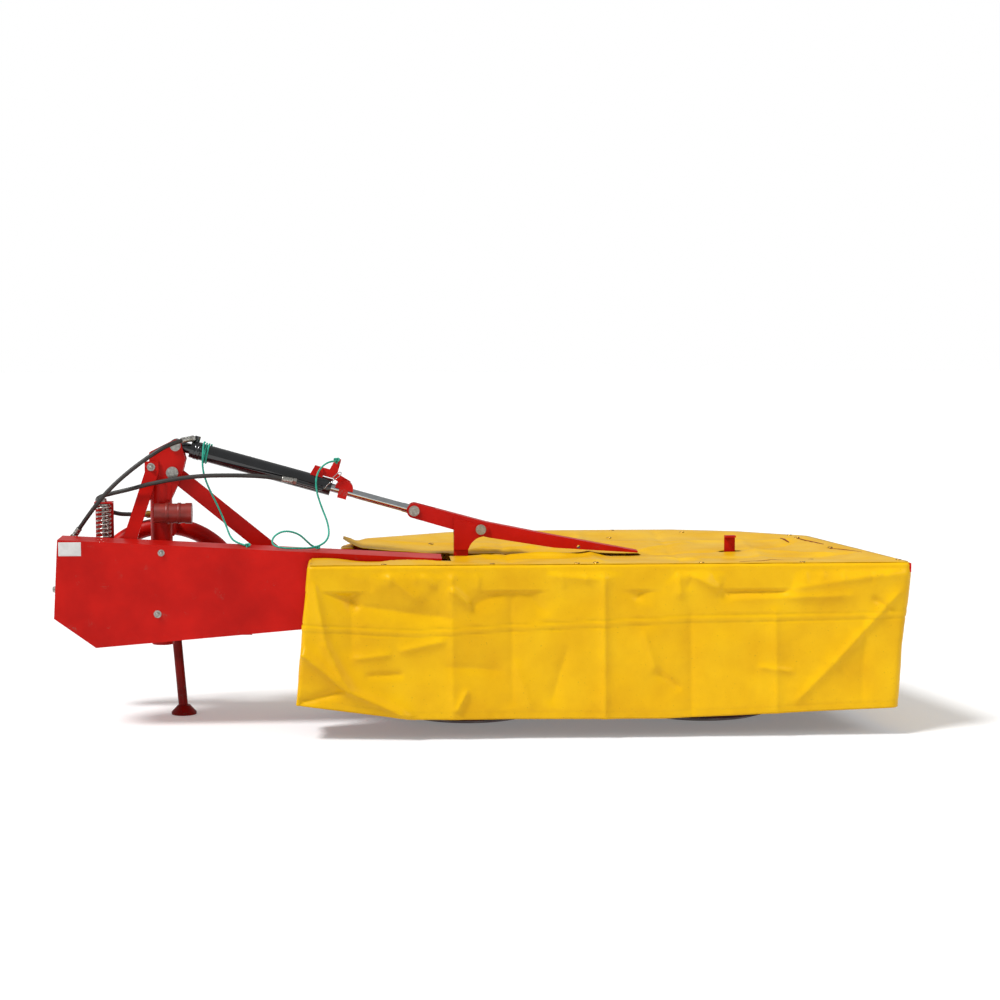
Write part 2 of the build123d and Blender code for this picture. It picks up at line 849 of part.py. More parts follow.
with BuildPart() as spring_rod:
    round_bar((spring_x, spring_y, spring_rod_low_z), (spring_x, spring_y, spring_rod_top_z), spring_rod_radius)
    for low_z in (spring_rod_low_z, spring_bracket_top_z):
        with BuildSketch(Plane.XY.offset(low_z)) as nut:
            with Locations((spring_x, spring_y)):
                RegularPolygon(spring_nut_radius, 6)
        extrude(nut.sketch, amount=spring_nut_height)
    round_bar((spring_x, spring_y, spring_high_z), (spring_x, spring_y, spring_high_z + spring_washer),
              spring_washer_radius)
save(spring_rod.part, "spring_rod")

spring_rise = spring_high_z - spring_low_z - 2 * spring_wire
with BuildPart() as tension_spring:
    with BuildLine() as coil:
        Helix(
            pitch=spring_rise / spring_turns, height=spring_rise, radius=spring_radius,
            center=(spring_x, spring_y, spring_low_z + spring_wire),
        )
    with BuildSketch(Plane(origin=coil.line @ 0, z_dir=coil.line % 0)):
        Circle(spring_wire)
    sweep(path=coil.line, is_frenet=True)
save(tension_spring.part, "tension_spring")

# Document tube, strapped to the rear of the post
tube_y = mechanism_y - post_radius - tube_radius - tube_standoff
with BuildPart() as document_tube:
    cap_start_x = tube_right_x - tube_cap
    round_bar((tube_left_x, tube_y, tube_z), (cap_start_x, tube_y, tube_z), tube_radius)
    round_bar((cap_start_x, tube_y, tube_z), (tube_right_x, tube_y, tube_z), tube_radius + tube_cap_over)
    block(
        (hitch_x - tube_saddle_width / 2, tube_y, tube_z - tube_saddle_width),
        (hitch_x + tube_saddle_width / 2, mechanism_y, tube_z + tube_saddle_width),
    )
    with Locations((hitch_x, mechanism_y, tube_z)):
        Cylinder(post_radius, tube_radius * 4, mode=Mode.SUBTRACT)
save(document_tube.part, "document_tube")

# Parking stand and its sleeve on the beam
stand_axis = (-sin(radians(stand_tilt)), 0, cos(radians(stand_tilt)))
with BuildPart() as stand_sleeve:
    sleeve_plane = Plane(origin=(stand_x_at(hinge_z), stand_y, hinge_z), x_dir=(0, 1, 0), z_dir=stand_axis)
    with BuildSketch(sleeve_plane.offset(-stand_sleeve_length / 2)):
        Rectangle(sleeve_side, sleeve_side)
        Circle(stand_radius + stand_sleeve_gap, mode=Mode.SUBTRACT)
    extrude(amount=stand_sleeve_length)
save(stand_sleeve.part, "stand_sleeve")

with BuildPart() as parking_stand:
    turned(
        (stand_foot_x, stand_y, 0),
        (0, 0, 1),
        [
            (0, 0),
            (0, stand_foot_radius),
            (stand_foot_height, stand_foot_radius),
            (stand_foot_height + stand_foot_cone, stand_cone_top_radius),
            (stand_foot_height + stand_foot_cone, 0),
        ],
    )
    round_bar(
        (stand_x_at(stand_foot_height), stand_y, stand_foot_height), (stand_x_at(stand_top_z), stand_y, stand_top_z),
        stand_radius,
    )
save(parking_stand.part, "parking_stand")

# Lift cylinder, along its own line from base pin to rod eye
cylinder_angle = atan2(eye_z - base_pin_z, eye_x - base_pin_x)
cylinder_line = (cos(cylinder_angle), 0, sin(cylinder_angle))
cylinder_base = (base_pin_x, mechanism_y, base_pin_z)
pin_distance = hypot(eye_x - base_pin_x, eye_z - base_pin_z)
cylinder_plane = Plane(origin=cylinder_base, x_dir=cylinder_line, z_dir=(0, -1, 0))


def on_cylinder(along, rise, rear=0):
    """Point given along the cylinder, above its line and to the rear of it."""
    return cylinder_plane.from_local_coords((along, rise, rear))


wall_middle = (tube_inner_radius + tube_outer_radius) / 2
with BuildPart() as cylinder_tube:
    turned(
        cylinder_base,
        cylinder_line,
        [
            (0, 0),
            (0, base_eye_width / 2),
            (tube_start, base_eye_width / 2),
            (tube_start, tube_outer_radius),
            (tube_end, tube_outer_radius),
            (tube_end, rod_radius + fit_gap * 2),
            (tube_end - gland_length, rod_radius + fit_gap * 2),
            (tube_end - gland_length, tube_inner_radius),
            (tube_start + tube_bottom, tube_inner_radius),
            (tube_start + tube_bottom, 0),
        ],
    )
    round_bar(
        (base_pin_x, mechanism_y - base_eye_width / 2, base_pin_z),
        (base_pin_x, mechanism_y + base_eye_width / 2, base_pin_z),
        base_eye_radius,
    )
    round_bar(
        (base_pin_x, mast_rear_y, base_pin_z), (base_pin_x, mast_front_y, base_pin_z), mast_pin_radius + fit_gap * 2,
        mode=Mode.SUBTRACT,
    )
    for low_y in (mast_rear_y, mechanism_y + base_eye_width / 2):
        block(
            (base_pin_x - tube_start, low_y, base_pin_z - tube_start),
            (base_pin_x + base_eye_radius, low_y + mast_plate + weld_gap * 6, base_pin_z + tube_start),
            mode=Mode.SUBTRACT,
        )
    round_bar(
        point(on_cylinder(base_port_at, wall_middle)),
        point(on_cylinder(base_port_at, tube_outer_radius + base_port_height)),
        port_radius,
    )
    boss_tip = point(on_cylinder(base_port_at, tube_outer_radius + base_port_height - fitting_radius))
    fitting_tip = (boss_tip[0] - base_fitting_width, boss_tip[1] - base_fitting_depth, boss_tip[2])
    round_bar(boss_tip, fitting_tip, fitting_radius)
    port_rear = tube_outer_radius + port_reach
    round_bar(
        point(on_cylinder(rod_port_at, -rod_port_drop, wall_middle)),
        point(on_cylinder(rod_port_at, -rod_port_drop, port_rear)),
        port_radius,
    )
    round_bar(
        point(on_cylinder(rod_port_at + port_radius + port_end, -rod_port_drop, port_rear)),
        point(on_cylinder(fitting_end_at, -rod_port_drop, port_rear)),
        fitting_radius,
    )
save(cylinder_tube.part, "cylinder_tube")

with BuildPart() as piston_rod:
    turned(
        cylinder_base,
        cylinder_line,
        [
            (rod_inner_start, 0),
            (rod_inner_start, piston_radius),
            (rod_inner_start + piston_length, piston_radius),
            (rod_inner_start + piston_length, rod_radius),
            (pin_distance - rod_collar_setback, rod_radius),
            (pin_distance - rod_collar_setback, rod_collar_radius),
            (pin_distance - rod_eye_radius + pulley_lip, rod_collar_radius),
            (pin_distance - rod_eye_radius + pulley_lip, 0),
        ],
    )
    round_bar(
        (eye_x, mechanism_y - rod_eye_width / 2, eye_z), (eye_x, mechanism_y + rod_eye_width / 2, eye_z),
        rod_eye_radius,
    )
    round_bar(
        (eye_x, mast_rear_y, eye_z), (eye_x, mast_front_y, eye_z), arm_pin_radius + fit_gap * 2, mode=Mode.SUBTRACT,
    )
save(piston_rod.part, "piston_rod")

# Latch that locks the rod: a lug on the tube, and a hook with a yoke over the rod
with BuildPart() as latch_lug:
    lug_half = latch_arm_thickness / 2 + latch_swing_gap
    for side in (-1, 1):
        low = min(side * lug_half, side * (lug_half + latch_lug_thickness))
        plane = Plane(
            origin=point(on_cylinder(0, 0, low)), x_dir=cylinder_line, z_dir=(0, -1, 0),
        )
        with BuildSketch(plane) as cheek:
            with BuildLine():
                Polyline(
                    (latch_pivot_at - latch_lug_length / 2, tube_inner_radius),
                    (latch_pivot_at - latch_boss_radius, latch_pivot_rise + latch_boss_radius),
                    (latch_pivot_at + latch_boss_radius, latch_pivot_rise + latch_boss_radius),
                    (latch_pivot_at + latch_lug_length / 2, tube_inner_radius),
                    close=True,
                )
            make_face()
        extrude(cheek.sketch, amount=latch_lug_thickness)
    turned(
        cylinder_base, cylinder_line,
        [(0, 0), (0, tube_outer_radius), (tube_end, tube_outer_radius), (tube_end, 0)],
        mode=Mode.SUBTRACT,
    )
    round_bar(
        point(on_cylinder(latch_pivot_at, latch_pivot_rise, lug_half + latch_lug_thickness + pin_head_over)),
        point(on_cylinder(latch_pivot_at, latch_pivot_rise, -lug_half - latch_lug_thickness - pin_head_over)),
        latch_pivot_radius,
    )
save(latch_lug.part, "latch_lug")

with BuildPart() as latch_hook:
    hook_plane = Plane(
        origin=point(on_cylinder(0, 0, -latch_arm_thickness / 2)), x_dir=cylinder_line, z_dir=(0, -1, 0),
    )
    with BuildSketch(hook_plane) as hook_arm:
        with BuildLine():
            Polyline(
                (latch_pivot_at, latch_pivot_rise + latch_boss_radius),
                (latch_tip_at - latch_tip_width, latch_pivot_rise + latch_boss_radius),
                (latch_tip_at - latch_tip_width / 2, latch_tip_rise),
                (latch_tip_at + latch_tip_width / 2, latch_tip_rise),
                (latch_tip_at + latch_tip_width / 2, latch_pivot_rise + latch_boss_radius / 2),
                (yoke_at + yoke_radius / 2, yoke_rise + yoke_radius),
                (yoke_at - yoke_radius / 2, yoke_bridge_rise),
                (latch_tip_at, tube_outer_radius + pulley_lip / 2),
                (latch_pivot_at, tube_outer_radius + pulley_lip / 2),
                close=True,
            )
        make_face()
        with Locations((latch_pivot_at, latch_pivot_rise)):
            Circle(latch_boss_radius)
    extrude(hook_arm.sketch, amount=latch_arm_thickness)
    with BuildSketch(hook_plane.offset(latch_arm_thickness / 2 - latch_gap / 2 - latch_cheek)) as yoke:
        with Locations((yoke_at, yoke_rise)):
            Circle(yoke_radius)
        with Locations((yoke_at - yoke_radius, yoke_rise - yoke_radius)):
            Rectangle(yoke_radius * 2, yoke_radius, align=(Align.MIN, Align.MIN), mode=Mode.SUBTRACT)
        with Locations((yoke_at, yoke_rise)):
            Rectangle(yoke_radius, yoke_radius, align=(Align.CENTER, Align.MAX))
    extrude(yoke.sketch, amount=latch_gap + 2 * latch_cheek)
    with BuildSketch(hook_plane.offset(latch_arm_thickness / 2 - latch_gap / 2)) as gap:
        with Locations((yoke_at, yoke_bridge_rise)):
            Rectangle(yoke_radius * 3, yoke_radius * 3, align=(Align.CENTER, Align.MAX))
    extrude(gap.sketch, amount=latch_gap, mode=Mode.SUBTRACT)
    round_bar(
        point(on_cylinder(latch_pivot_at, latch_pivot_rise, mast_gap)),
        point(on_cylinder(latch_pivot_at, latch_pivot_rise, -mast_gap)),
        latch_pivot_radius, mode=Mode.SUBTRACT,
    )
save(latch_hook.part, "latch_hook")

# Lift arm: a tapered bar, forked at the cylinder's end, held by a post on the deck
arm_rear_y = mechanism_y - arm_width / 2
arm_front_y = mechanism_y + arm_width / 2
fork_top = on_cylinder(pin_distance, arm_fork_radius)
fork_low = on_cylinder(pin_distance, -arm_fork_radius)
with BuildPart() as lift_arm:
    slab(
        [
            (fork_top.X, fork_top.Z),
            (arm_top_bend_x, arm_top_bend_z),
            (arm_mid_x, arm_mid_z),
            (arm_tip_x, arm_tip_top_z),
            (arm_tip_x, arm_tip_low_z),
            (arm_low_x, arm_low_z),
            (arm_under_x, arm_under_z),
            (arm_heel_x, arm_heel_z),
            (fork_low.X, fork_low.Z),
        ],
        arm_rear_y,
        arm_front_y,
    )
    round_bar((eye_x, arm_rear_y, eye_z), (eye_x, arm_front_y, eye_z), arm_fork_radius)
    block(
        (eye_x - arm_slot_length, mechanism_y - arm_slot / 2, eye_z - arm_slot_length * 2),
        (eye_x + arm_slot_length, mechanism_y + arm_slot / 2, eye_z + arm_slot_length * 2),
        mode=Mode.SUBTRACT,
    )
    for x, z, radius in [
        (eye_x, eye_z, arm_pin_radius),
        (arm_bolt_x, arm_bolt_z, arm_bolt_radius),
        (arm_hole_x, arm_hole_z, arm_hole_radius),
    ]:
        round_bar((x, arm_rear_y - overrun, z), (x, arm_front_y + overrun, z), radius, mode=Mode.SUBTRACT)
save(lift_arm.part, "lift_arm")

post_right_x = arm_post_left_x + arm_post_side
with BuildPart() as arm_post:
    block(
        (foot_plate_left_x, mechanism_y - foot_plate_reach, case_high_z),
        (foot_plate_right_x, mechanism_y + foot_plate_reach * 2, case_high_z + foot_plate),
    )
    block((arm_post_left_x, arm_rear_y, case_high_z), (post_right_x, arm_front_y, arm_post_top_z))
    for low_y in (arm_rear_y - lug_thickness, arm_front_y):
        with BuildSketch(Plane.XZ.offset(-(low_y + lug_thickness))) as lug:
            with BuildLine():
                Polyline(
                    (lug_notch_x, lug_notch_z),
                    (lug_right_x, lug_right_low_z),
                    (lug_right_x, lug_right_top_z),
                    (arm_post_left_x, lug_top_z),
                    (arm_post_left_x, lug_low_z),
                    (post_right_x, lug_low_z),
                )
                RadiusArc((post_right_x, lug_low_z), (lug_notch_x, lug_notch_z), arm_post_side * 1.3)
            make_face()
        extrude(lug.sketch, amount=lug_thickness)
    round_bar(
        (arm_bolt_x, arm_rear_y - overrun, arm_bolt_z), (arm_bolt_x, arm_front_y + overrun, arm_bolt_z),
        arm_bolt_radius, mode=Mode.SUBTRACT,
    )
save(arm_post.part, "arm_post")

lug_rear_y = arm_rear_y - lug_thickness
lug_front_y = arm_front_y + lug_thickness
with BuildPart() as arm_pins:
    round_bar((arm_bolt_x, lug_rear_y, arm_bolt_z), (arm_bolt_x, lug_front_y, arm_bolt_z), arm_bolt_radius)
    for start_y, end_y in ((lug_rear_y - pin_head_height, lug_rear_y), (lug_front_y, lug_front_y + pin_head_height)):
        round_bar((arm_bolt_x, start_y, arm_bolt_z), (arm_bolt_x, end_y, arm_bolt_z), arm_bolt_radius + pin_head_over)
    for side in (-1, 1):
        inner_y = mechanism_y + side * arm_slot / 2
        outer_y = mechanism_y + side * arm_width / 2
        head_y = outer_y + side * pin_head_height
        round_bar((eye_x, inner_y, eye_z), (eye_x, outer_y, eye_z), arm_pin_radius)
        round_bar((eye_x, outer_y, eye_z), (eye_x, head_y, eye_z), arm_pin_radius + pin_head_over)
save(arm_pins.part, "arm_pins")

# Gear case over the drums, with the neck that turns in the beam's sleeve
drum_places = [drum_1_x, drum_1_x + drum_pitch]
with BuildPart() as gear_case:
    block((case_left_x, -case_half_width, case_low_z), (case_right_x, case_half_width, case_high_z))
    fillet(gear_case.edges().filter_by(Axis.Z), case_edge_radius)
    block(
        (transfer_left_x, transfer_rear_y, transfer_low_z),
        (case_left_x + case_edge_radius * 2, case_half_width, transfer_high_z),
    )
    round_bar((hinge_x, transfer_rear_y, hinge_z), (hinge_x, neck_rear_y, hinge_z), neck_radius)
    round_bar(
        (hinge_x, neck_rear_y + neck_collar_thickness, hinge_z), (hinge_x, neck_rear_y, hinge_z),
        neck_radius + neck_collar,
    )
    round_bar(
        (hinge_x, neck_rear_y - overrun, hinge_z), (hinge_x, driven_tip_y + weld_gap, hinge_z),
        driven_shaft_radius + fit_gap, mode=Mode.SUBTRACT,
    )
    for x in drum_places:
        round_bar((x, 0, case_low_z), (x, 0, drum_top_z + dish_gap), drum_neck_radius)
save(gear_case.part, "gear_case")

# Drums with their knife discs, the knives below the rim and the skid dishes
for number, x in enumerate(drum_places, start=1):
    turned_axis = ((x, 0, 0), (0, 0, 1))
    with BuildPart() as drum:
        turned(
            *turned_axis,
            [
                (drum_top_z, 0),
                (drum_top_z, drum_flange_radius),
                (drum_top_z - drum_flange, drum_flange_radius),
                (drum_top_z - 2 * drum_flange, drum_wall_radius),
                (drum_flare_z, drum_wall_radius),
                (drum_base_z, drum_flange_radius + drum_flange * 2),
                (disc_rim_z + disc_thickness, disc_radius),
                (disc_rim_z, disc_radius),
                (disc_rim_z, disc_radius - knife_length),
                (drum_under_z + disc_thickness * 2, drum_under_radius),
                (drum_under_z, drum_under_radius),
                (drum_under_z, 0),
            ],
        )
        rib_high_z = drum_top_z - 2 * drum_flange
        with BuildSketch(Plane.XY.offset(rib_low_z)) as ribs:
            with Locations((x, 0)):
                with PolarLocations(drum_wall_radius, rib_count):
                    Rectangle(rib_depth * 2, rib_width)
        extrude(ribs.sketch, amount=rib_high_z - rib_low_z)
    save(drum.part, f"drum_{number}")

    with BuildPart() as knives:
        with BuildSketch(Plane.XY.offset(disc_rim_z - knife_thickness)) as blades:
            with Locations((x, 0)):
                with PolarLocations(knife_tip_radius - knife_length / 2, knife_count):
                    Rectangle(knife_length, knife_width)
            chamfer(blades.vertices(), knife_corner)
        extrude(blades.sketch, amount=knife_thickness)
    save(knives.part, f"knives_{number}")

    with BuildPart() as dish:
        turned(
            *turned_axis,
            [
                (0, 0),
                (0, dish_flat_radius),
                (dish_rim_z / 3, (dish_flat_radius + dish_rim_radius) / 2 + dish_thickness * 3),
                (dish_rim_z, dish_rim_radius),
                (dish_rim_z, dish_rim_radius - dish_thickness),
                (dish_rim_z / 3 + dish_thickness, (dish_flat_radius + dish_rim_radius) / 2 + dish_thickness),
                (dish_thickness, dish_flat_radius),
                (dish_thickness, dish_hub_radius),
                (drum_under_z - dish_gap, dish_hub_radius),
                (drum_under_z - dish_gap, 0),
            ],
        )
    save(dish.part, f"dish_{number}")

# Curtain outline, anticlockwise from the near left corner
curtain_points = [(curtain_left_x, -half_width), (half_length, -half_width)]
curtain_points += [(half_length * x_share, half_width * y_share) for x_share, y_share in curtain_far_shares]
far_left_x = curtain_points[-1][0]
curtain_points.append((far_left_x, slot_far_y))
curtain_outline = curtain_points + [(curtain_left_x, slot_far_y)]


def curtain_prism(inset, low_z, high_z, mode=Mode.ADD):
    """Prism of the curtain's plan outline, drawn in by an inset."""
    with BuildSketch(Plane.XY.offset(low_z)) as plan:
        with BuildLine():
            Polyline(*curtain_outline, close=True)
        make_face()
        if inset:
            offset(amount=-inset, kind=Kind.INTERSECTION, mode=Mode.REPLACE)
    extrude(plan.sketch, amount=high_z - low_z, mode=mode)


sheet_low_z = curtain_top_z - curtain_wall
arm_opening_half = arm_width / 2 + arm_slot_side_gap
with BuildPart() as curtain_top:
    curtain_prism(0, sheet_low_z, curtain_top_z)
    block(
        (curtain_left_x - overrun, slot_near_y, sheet_low_z - overrun),
        (slot_right_x, slot_far_y, curtain_top_z + overrun),
        mode=Mode.SUBTRACT,
    )
    block(
        (curtain_left_x - overrun, slot_far_y - overrun, sheet_low_z - overrun),
        (far_left_x, slot_far_y + weld_gap, curtain_top_z + overrun),
        mode=Mode.SUBTRACT,
    )
    block(
        (slot_right_x - overrun, mechanism_y - arm_opening_half, sheet_low_z - overrun),
        (arm_tip_x + arm_slot_end_gap, mechanism_y + arm_opening_half, curtain_top_z + overrun),
        mode=Mode.SUBTRACT,
    )
    block(
        (hook_x - hook_width, mechanism_y - hook_reach - hook_thickness, sheet_low_z - overrun),
        (hook_x + hook_width, mechanism_y + hook_thickness * 2, curtain_top_z + overrun),
        mode=Mode.SUBTRACT,
    )
save(curtain_top.part, "curtain_top")

wall_high_z = sheet_low_z - weld_gap
with BuildPart() as curtain_near:
    near_length = half_length - curtain_left_x
    low_edge = [
        (curtain_left_x - curtain_sway_width + share * near_length, height) for share, height in curtain_near_low
    ]
    slab(
        [*low_edge, (half_length, wall_high_z), (curtain_left_x, wall_high_z)],
        -half_width,
        -half_width + curtain_wall,
    )
save(curtain_near.part, "curtain_near")


def hanging_panel(start, end, low_z, start_sway, end_sway):
    """Add one flat panel below an edge of the curtain's top, its hem swung to the left."""
    along = Vector(end[0] - start[0], end[1] - start[1], 0)
    step = along.normalized()
    inward = Vector(-step.Y, step.X, 0) * curtain_wall
    first = Vector(start[0], start[1], 0) + step * (curtain_wall * 3 / 2 + weld_gap)
    last = Vector(end[0], end[1], 0) - step * (curtain_wall * 3 / 2 + weld_gap)
    corners = [first, last, last + inward, first + inward]
    sways = [start_sway, end_sway, end_sway, start_sway]
    with BuildSketch(Plane.XY.offset(low_z)) as low_section:
        with BuildLine():
            Polyline(*[(corner.X - sway, corner.Y) for corner, sway in zip(corners, sways)], close=True)
        make_face()
    with BuildSketch(Plane.XY.offset(wall_high_z)) as high_section:
        with BuildLine():
            Polyline(*[(corner.X, corner.Y) for corner in corners], close=True)
        make_face()
    loft([low_section.sketch.face(), high_section.sketch.face()])


with BuildPart() as curtain_right:
    hanging_panel(curtain_points[1], curtain_points[2], curtain_near_low[-1][1], curtain_sway_width, 0)
save(curtain_right.part, "curtain_right")

with BuildPart() as curtain_left:
    near_left = (curtain_left_x, -half_width)
    hanging_panel((curtain_left_x, slot_near_y), near_left, curtain_near_low[0][1], curtain_sway_width, curtain_sway_width)
save(curtain_left.part, "curtain_left")

with BuildPart() as curtain_far:
    curtain_prism(0, curtain_low_z, wall_high_z)
    curtain_prism(curtain_wall, curtain_low_z - overrun, wall_high_z + overrun, mode=Mode.SUBTRACT)
    block(
        (curtain_left_x - overrun, -half_width - overrun, curtain_low_z - overrun),
        (curtain_points[3][0], slot_far_y, wall_high_z + overrun),
        mode=Mode.SUBTRACT,
    )
    block(
        (curtain_left_x - overrun, slot_far_y - overrun, curtain_low_z - overrun),
        (far_left_x, slot_far_y + curtain_wall * 2, wall_high_z + overrun),
        mode=Mode.SUBTRACT,
    )
    block(
        (curtain_points[4][0], -half_width - overrun, curtain_low_z - overrun),
        (half_length + overrun, curtain_points[2][1], wall_high_z + overrun),
        mode=Mode.SUBTRACT,
    )
save(curtain_far.part, "curtain_far")

# Rail round the curtain's top edge, carried by tubes across the gear case
rail_high_z = sheet_low_z - weld_gap
rail_low_z = rail_high_z - rail_side
rail_inset = curtain_wall + rail_clearance
with BuildPart() as curtain_rail:
    curtain_prism(rail_inset, rail_low_z, rail_high_z)
    curtain_prism(rail_inset + rail_side, rail_low_z - overrun, rail_high_z + overrun, mode=Mode.SUBTRACT)
    block(
        (curtain_left_x - overrun, slot_near_y, rail_low_z - overrun),
        (slot_right_x, slot_far_y, rail_high_z + overrun),
        mode=Mode.SUBTRACT,
    )
    block(
        (curtain_left_x - overrun, slot_far_y - overrun * 2, rail_low_z - overrun),
        (far_left_x + rail_inset, slot_far_y + rail_inset + rail_side * 2, rail_high_z + overrun),
        mode=Mode.SUBTRACT,
    )
save(curtain_rail.part, "curtain_rail")

with BuildPart() as deck_tubes:
    tube_top_z = rail_low_z
    for x in cross_tube_places:
        block(
            (x - deck_tube_width / 2, -half_width, case_high_z),
            (x + deck_tube_width / 2, half_width, tube_top_z),
        )
    curtain_prism(rail_inset, case_high_z, tube_top_z, mode=Mode.INTERSECT)
save(deck_tubes.part, "deck_tubes")

with BuildPart() as hook_bracket:
    low_x = hook_x - hook_width / 2
    high_x = hook_x + hook_width / 2
    block((low_x, mechanism_y, case_high_z), (high_x, mechanism_y + hook_thickness, hook_top_z))
    block(
        (low_x, mechanism_y - hook_reach, hook_top_z - hook_thickness),
        (high_x, mechanism_y, hook_top_z),
    )
save(hook_bracket.part, "hook_bracket")

# Hose couplers in their rests, one on the spring bracket's ledge and one beside the post
with BuildPart() as hose_couplers:
    round_bar(guard_coupler_top, guard_coupler_low, coupler_radius)
    round_bar(
        (post_coupler_x, post_coupler_y, post_coupler_z),
        (post_coupler_x + coupler_length, post_coupler_y, post_coupler_z),
        coupler_radius,
    )
save(hose_couplers.part, "hose_couplers")

with BuildPart() as coupler_rest:
    rest_left_x = hitch_x - post_radius
    block(
        (rest_left_x, mechanism_y, post_coupler_z - coupler_radius * 9 / 8),
        (
            rest_left_x + coupler_rest_thickness,
            post_coupler_y + coupler_radius * 3 / 2,
            post_coupler_z + coupler_radius * 3 / 2,
        ),
    )
    round_bar(
        (rest_left_x - overrun, post_coupler_y, post_coupler_z),
        (rest_left_x + overrun, post_coupler_y, post_coupler_z),
        coupler_radius + coupler_play, mode=Mode.SUBTRACT,
    )
    with Locations((hitch_x, mechanism_y, post_coupler_z)):
        Cylinder(post_radius, coupler_radius * 4, mode=Mode.SUBTRACT)
save(coupler_rest.part, "coupler_rest")

# Hoses and ropes, each along the points of its route
hose_base_route = [
    (-1368.0, -128.0, 648.0), (-1303.4, -165.0, 740.5), (-1230.0, -170.0, 827.0), (-1128.0, -150.0, 911.0),
    (-1022.0, -124.0, 977.0), (-967.0, -78.6, 981.1),
]
hose_rod_route = [
    (-613.9, -112.0, 837.0), (-688.0, -115.5, 852.0), (-816.0, -120.0, 858.0), (-957.0, -125.0, 856.0),
    (-1097.0, -135.0, 833.0), (-1172.0, -134.0, 812.0), (-1236.0, -122.0, 797.0), (-1284.0, -84.0, 782.0),
    (-1302.0, -26.0, 762.0), (-1284.0, 28.0, 730.0), (-1240.0, 62.0, 706.0), (-1180.0, 72.0, 704.0),
    (-1138.3, 72.0, 704.0),
]
latch_rope_route = [
    (-462.0, -66.9, 904.0), (-466.0, -90.0, 904.0), (-499.0, -112.0, 899.0), (-530.0, -122.0, 866.0), (-535.0, -130.0, 812.0),
    (-516.0, -132.0, 750.0), (-490.0, -150.0, 688.0), (-488.0, -192.0, 640.0), (-530.0, -240.0, 617.0),
    (-600.0, -270.0, 619.0), (-648.0, -276.0, 621.0), (-682.0, -256.0, 631.0), (-678.0, -232.0, 657.0),
    (-640.0, -220.0, 676.0), (-592.0, -212.0, 664.0), (-562.0, -204.0, 634.0), (-546.0, -197.5, 618.0),
    (-528.0, -192.0, 611.5),
]
mast_rope_route = [
    (-919.4, -60.0, 968.6), (-920.5, -98.0, 969.5), (-923.5, -107.0, 932.0), (-926.0, -107.0, 880.0),
    (-910.0, -106.0, 823.0), (-874.0, -106.0, 750.0), (-846.0, -112.0, 684.0), (-829.0, -145.0, 642.0),
    (-800.0, -196.0, 629.0), (-762.0, -240.0, 624.4),
]
save(cord("hose_base", hose_base_route, hose_diameter), "hose_base")
save(cord("hose_rod", hose_rod_route, hose_diameter), "hose_rod")
save(cord("latch_rope", latch_rope_route, rope_diameter), "latch_rope")
save(cord("mast_rope", mast_rope_route, rope_diameter), "mast_rope")
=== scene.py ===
# %% [markdown]
# Drum mower, seen from behind, standing on its parking stand and its two skid dishes. The construction comes
# ready in a fixed frame: every node already sits where it belongs, in metres. X points to the cutting side, Y
# forward to the tractor and Z up. This lesson gives the machine its looks: ropes and hoses that follow their
# routes, a curtain of coated cloth, bolts, eyelets and weld seams, and a finish for every surface.

# %% Load the frame
import math

import bmesh
import bpy
import numpy as np
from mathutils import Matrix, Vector, noise


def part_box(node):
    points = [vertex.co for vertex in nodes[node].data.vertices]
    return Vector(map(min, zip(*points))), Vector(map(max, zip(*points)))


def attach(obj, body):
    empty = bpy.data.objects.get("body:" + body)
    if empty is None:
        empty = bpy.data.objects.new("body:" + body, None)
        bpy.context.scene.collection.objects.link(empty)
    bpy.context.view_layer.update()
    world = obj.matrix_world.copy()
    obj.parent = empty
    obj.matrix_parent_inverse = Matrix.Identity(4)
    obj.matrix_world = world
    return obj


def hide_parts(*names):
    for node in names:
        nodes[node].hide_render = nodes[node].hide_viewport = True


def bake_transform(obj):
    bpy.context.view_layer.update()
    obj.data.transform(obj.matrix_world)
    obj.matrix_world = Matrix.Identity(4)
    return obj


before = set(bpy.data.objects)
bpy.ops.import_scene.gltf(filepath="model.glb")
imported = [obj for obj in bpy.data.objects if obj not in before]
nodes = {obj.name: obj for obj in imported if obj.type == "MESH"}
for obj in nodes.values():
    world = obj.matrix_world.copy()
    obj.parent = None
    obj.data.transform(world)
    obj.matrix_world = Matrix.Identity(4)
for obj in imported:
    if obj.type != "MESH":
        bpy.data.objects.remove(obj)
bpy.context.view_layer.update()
mm = 0.001

# %% [markdown]
# Colours are written as they look on a screen, in sRGB hex, but a shader calculates with linear light. One
# function turns the first into the second, so each colour can be compared with a swatch.

# %% Colours and shader nodes
def linear(hex_colour):
    """Linear red, green, blue and full alpha of an sRGB hex colour."""
    channels = [int(hex_colour[i:i + 2], 16) / 255 for i in (1, 3, 5)]
    bright = [c / 12.92 if c <= 0.04045 else ((c + 0.055) / 1.055) ** 2.4 for c in channels]
    return (*bright, 1.0)


def add_node(tree, kind, settings=None, inputs=None, stops=()):
    """Add a node. An input that is given as a socket is linked, and stops are those of a colour ramp."""
    node = tree.nodes.new(kind)
    for name, value in (settings or {}).items():
        setattr(node, name, value)
    for name, value in (inputs or {}).items():
        if isinstance(value, bpy.types.NodeSocket):
            tree.links.new(value, node.inputs[name])
        else:
            node.inputs[name].default_value = value
    for index, (position, colour) in enumerate(stops):
        ramp = node.color_ramp.elements
        stop = ramp[index] if index < len(ramp) else ramp.new(position)
        stop.position = position
        stop.color = colour
    return node


print("yellow in linear light:", [round(c, 3) for c in linear("#F4C20F")[:3]])

# %% [markdown]
# A finish is a Principled shader whose colour, roughness and bump come from small patterns. Nearly every
# finish here needs the same three things: a colour that drifts a little, a roughness that drifts with it, and
# a fine bump. A function that holds those three keeps each material short, and what is special to one finish
# is added after it.

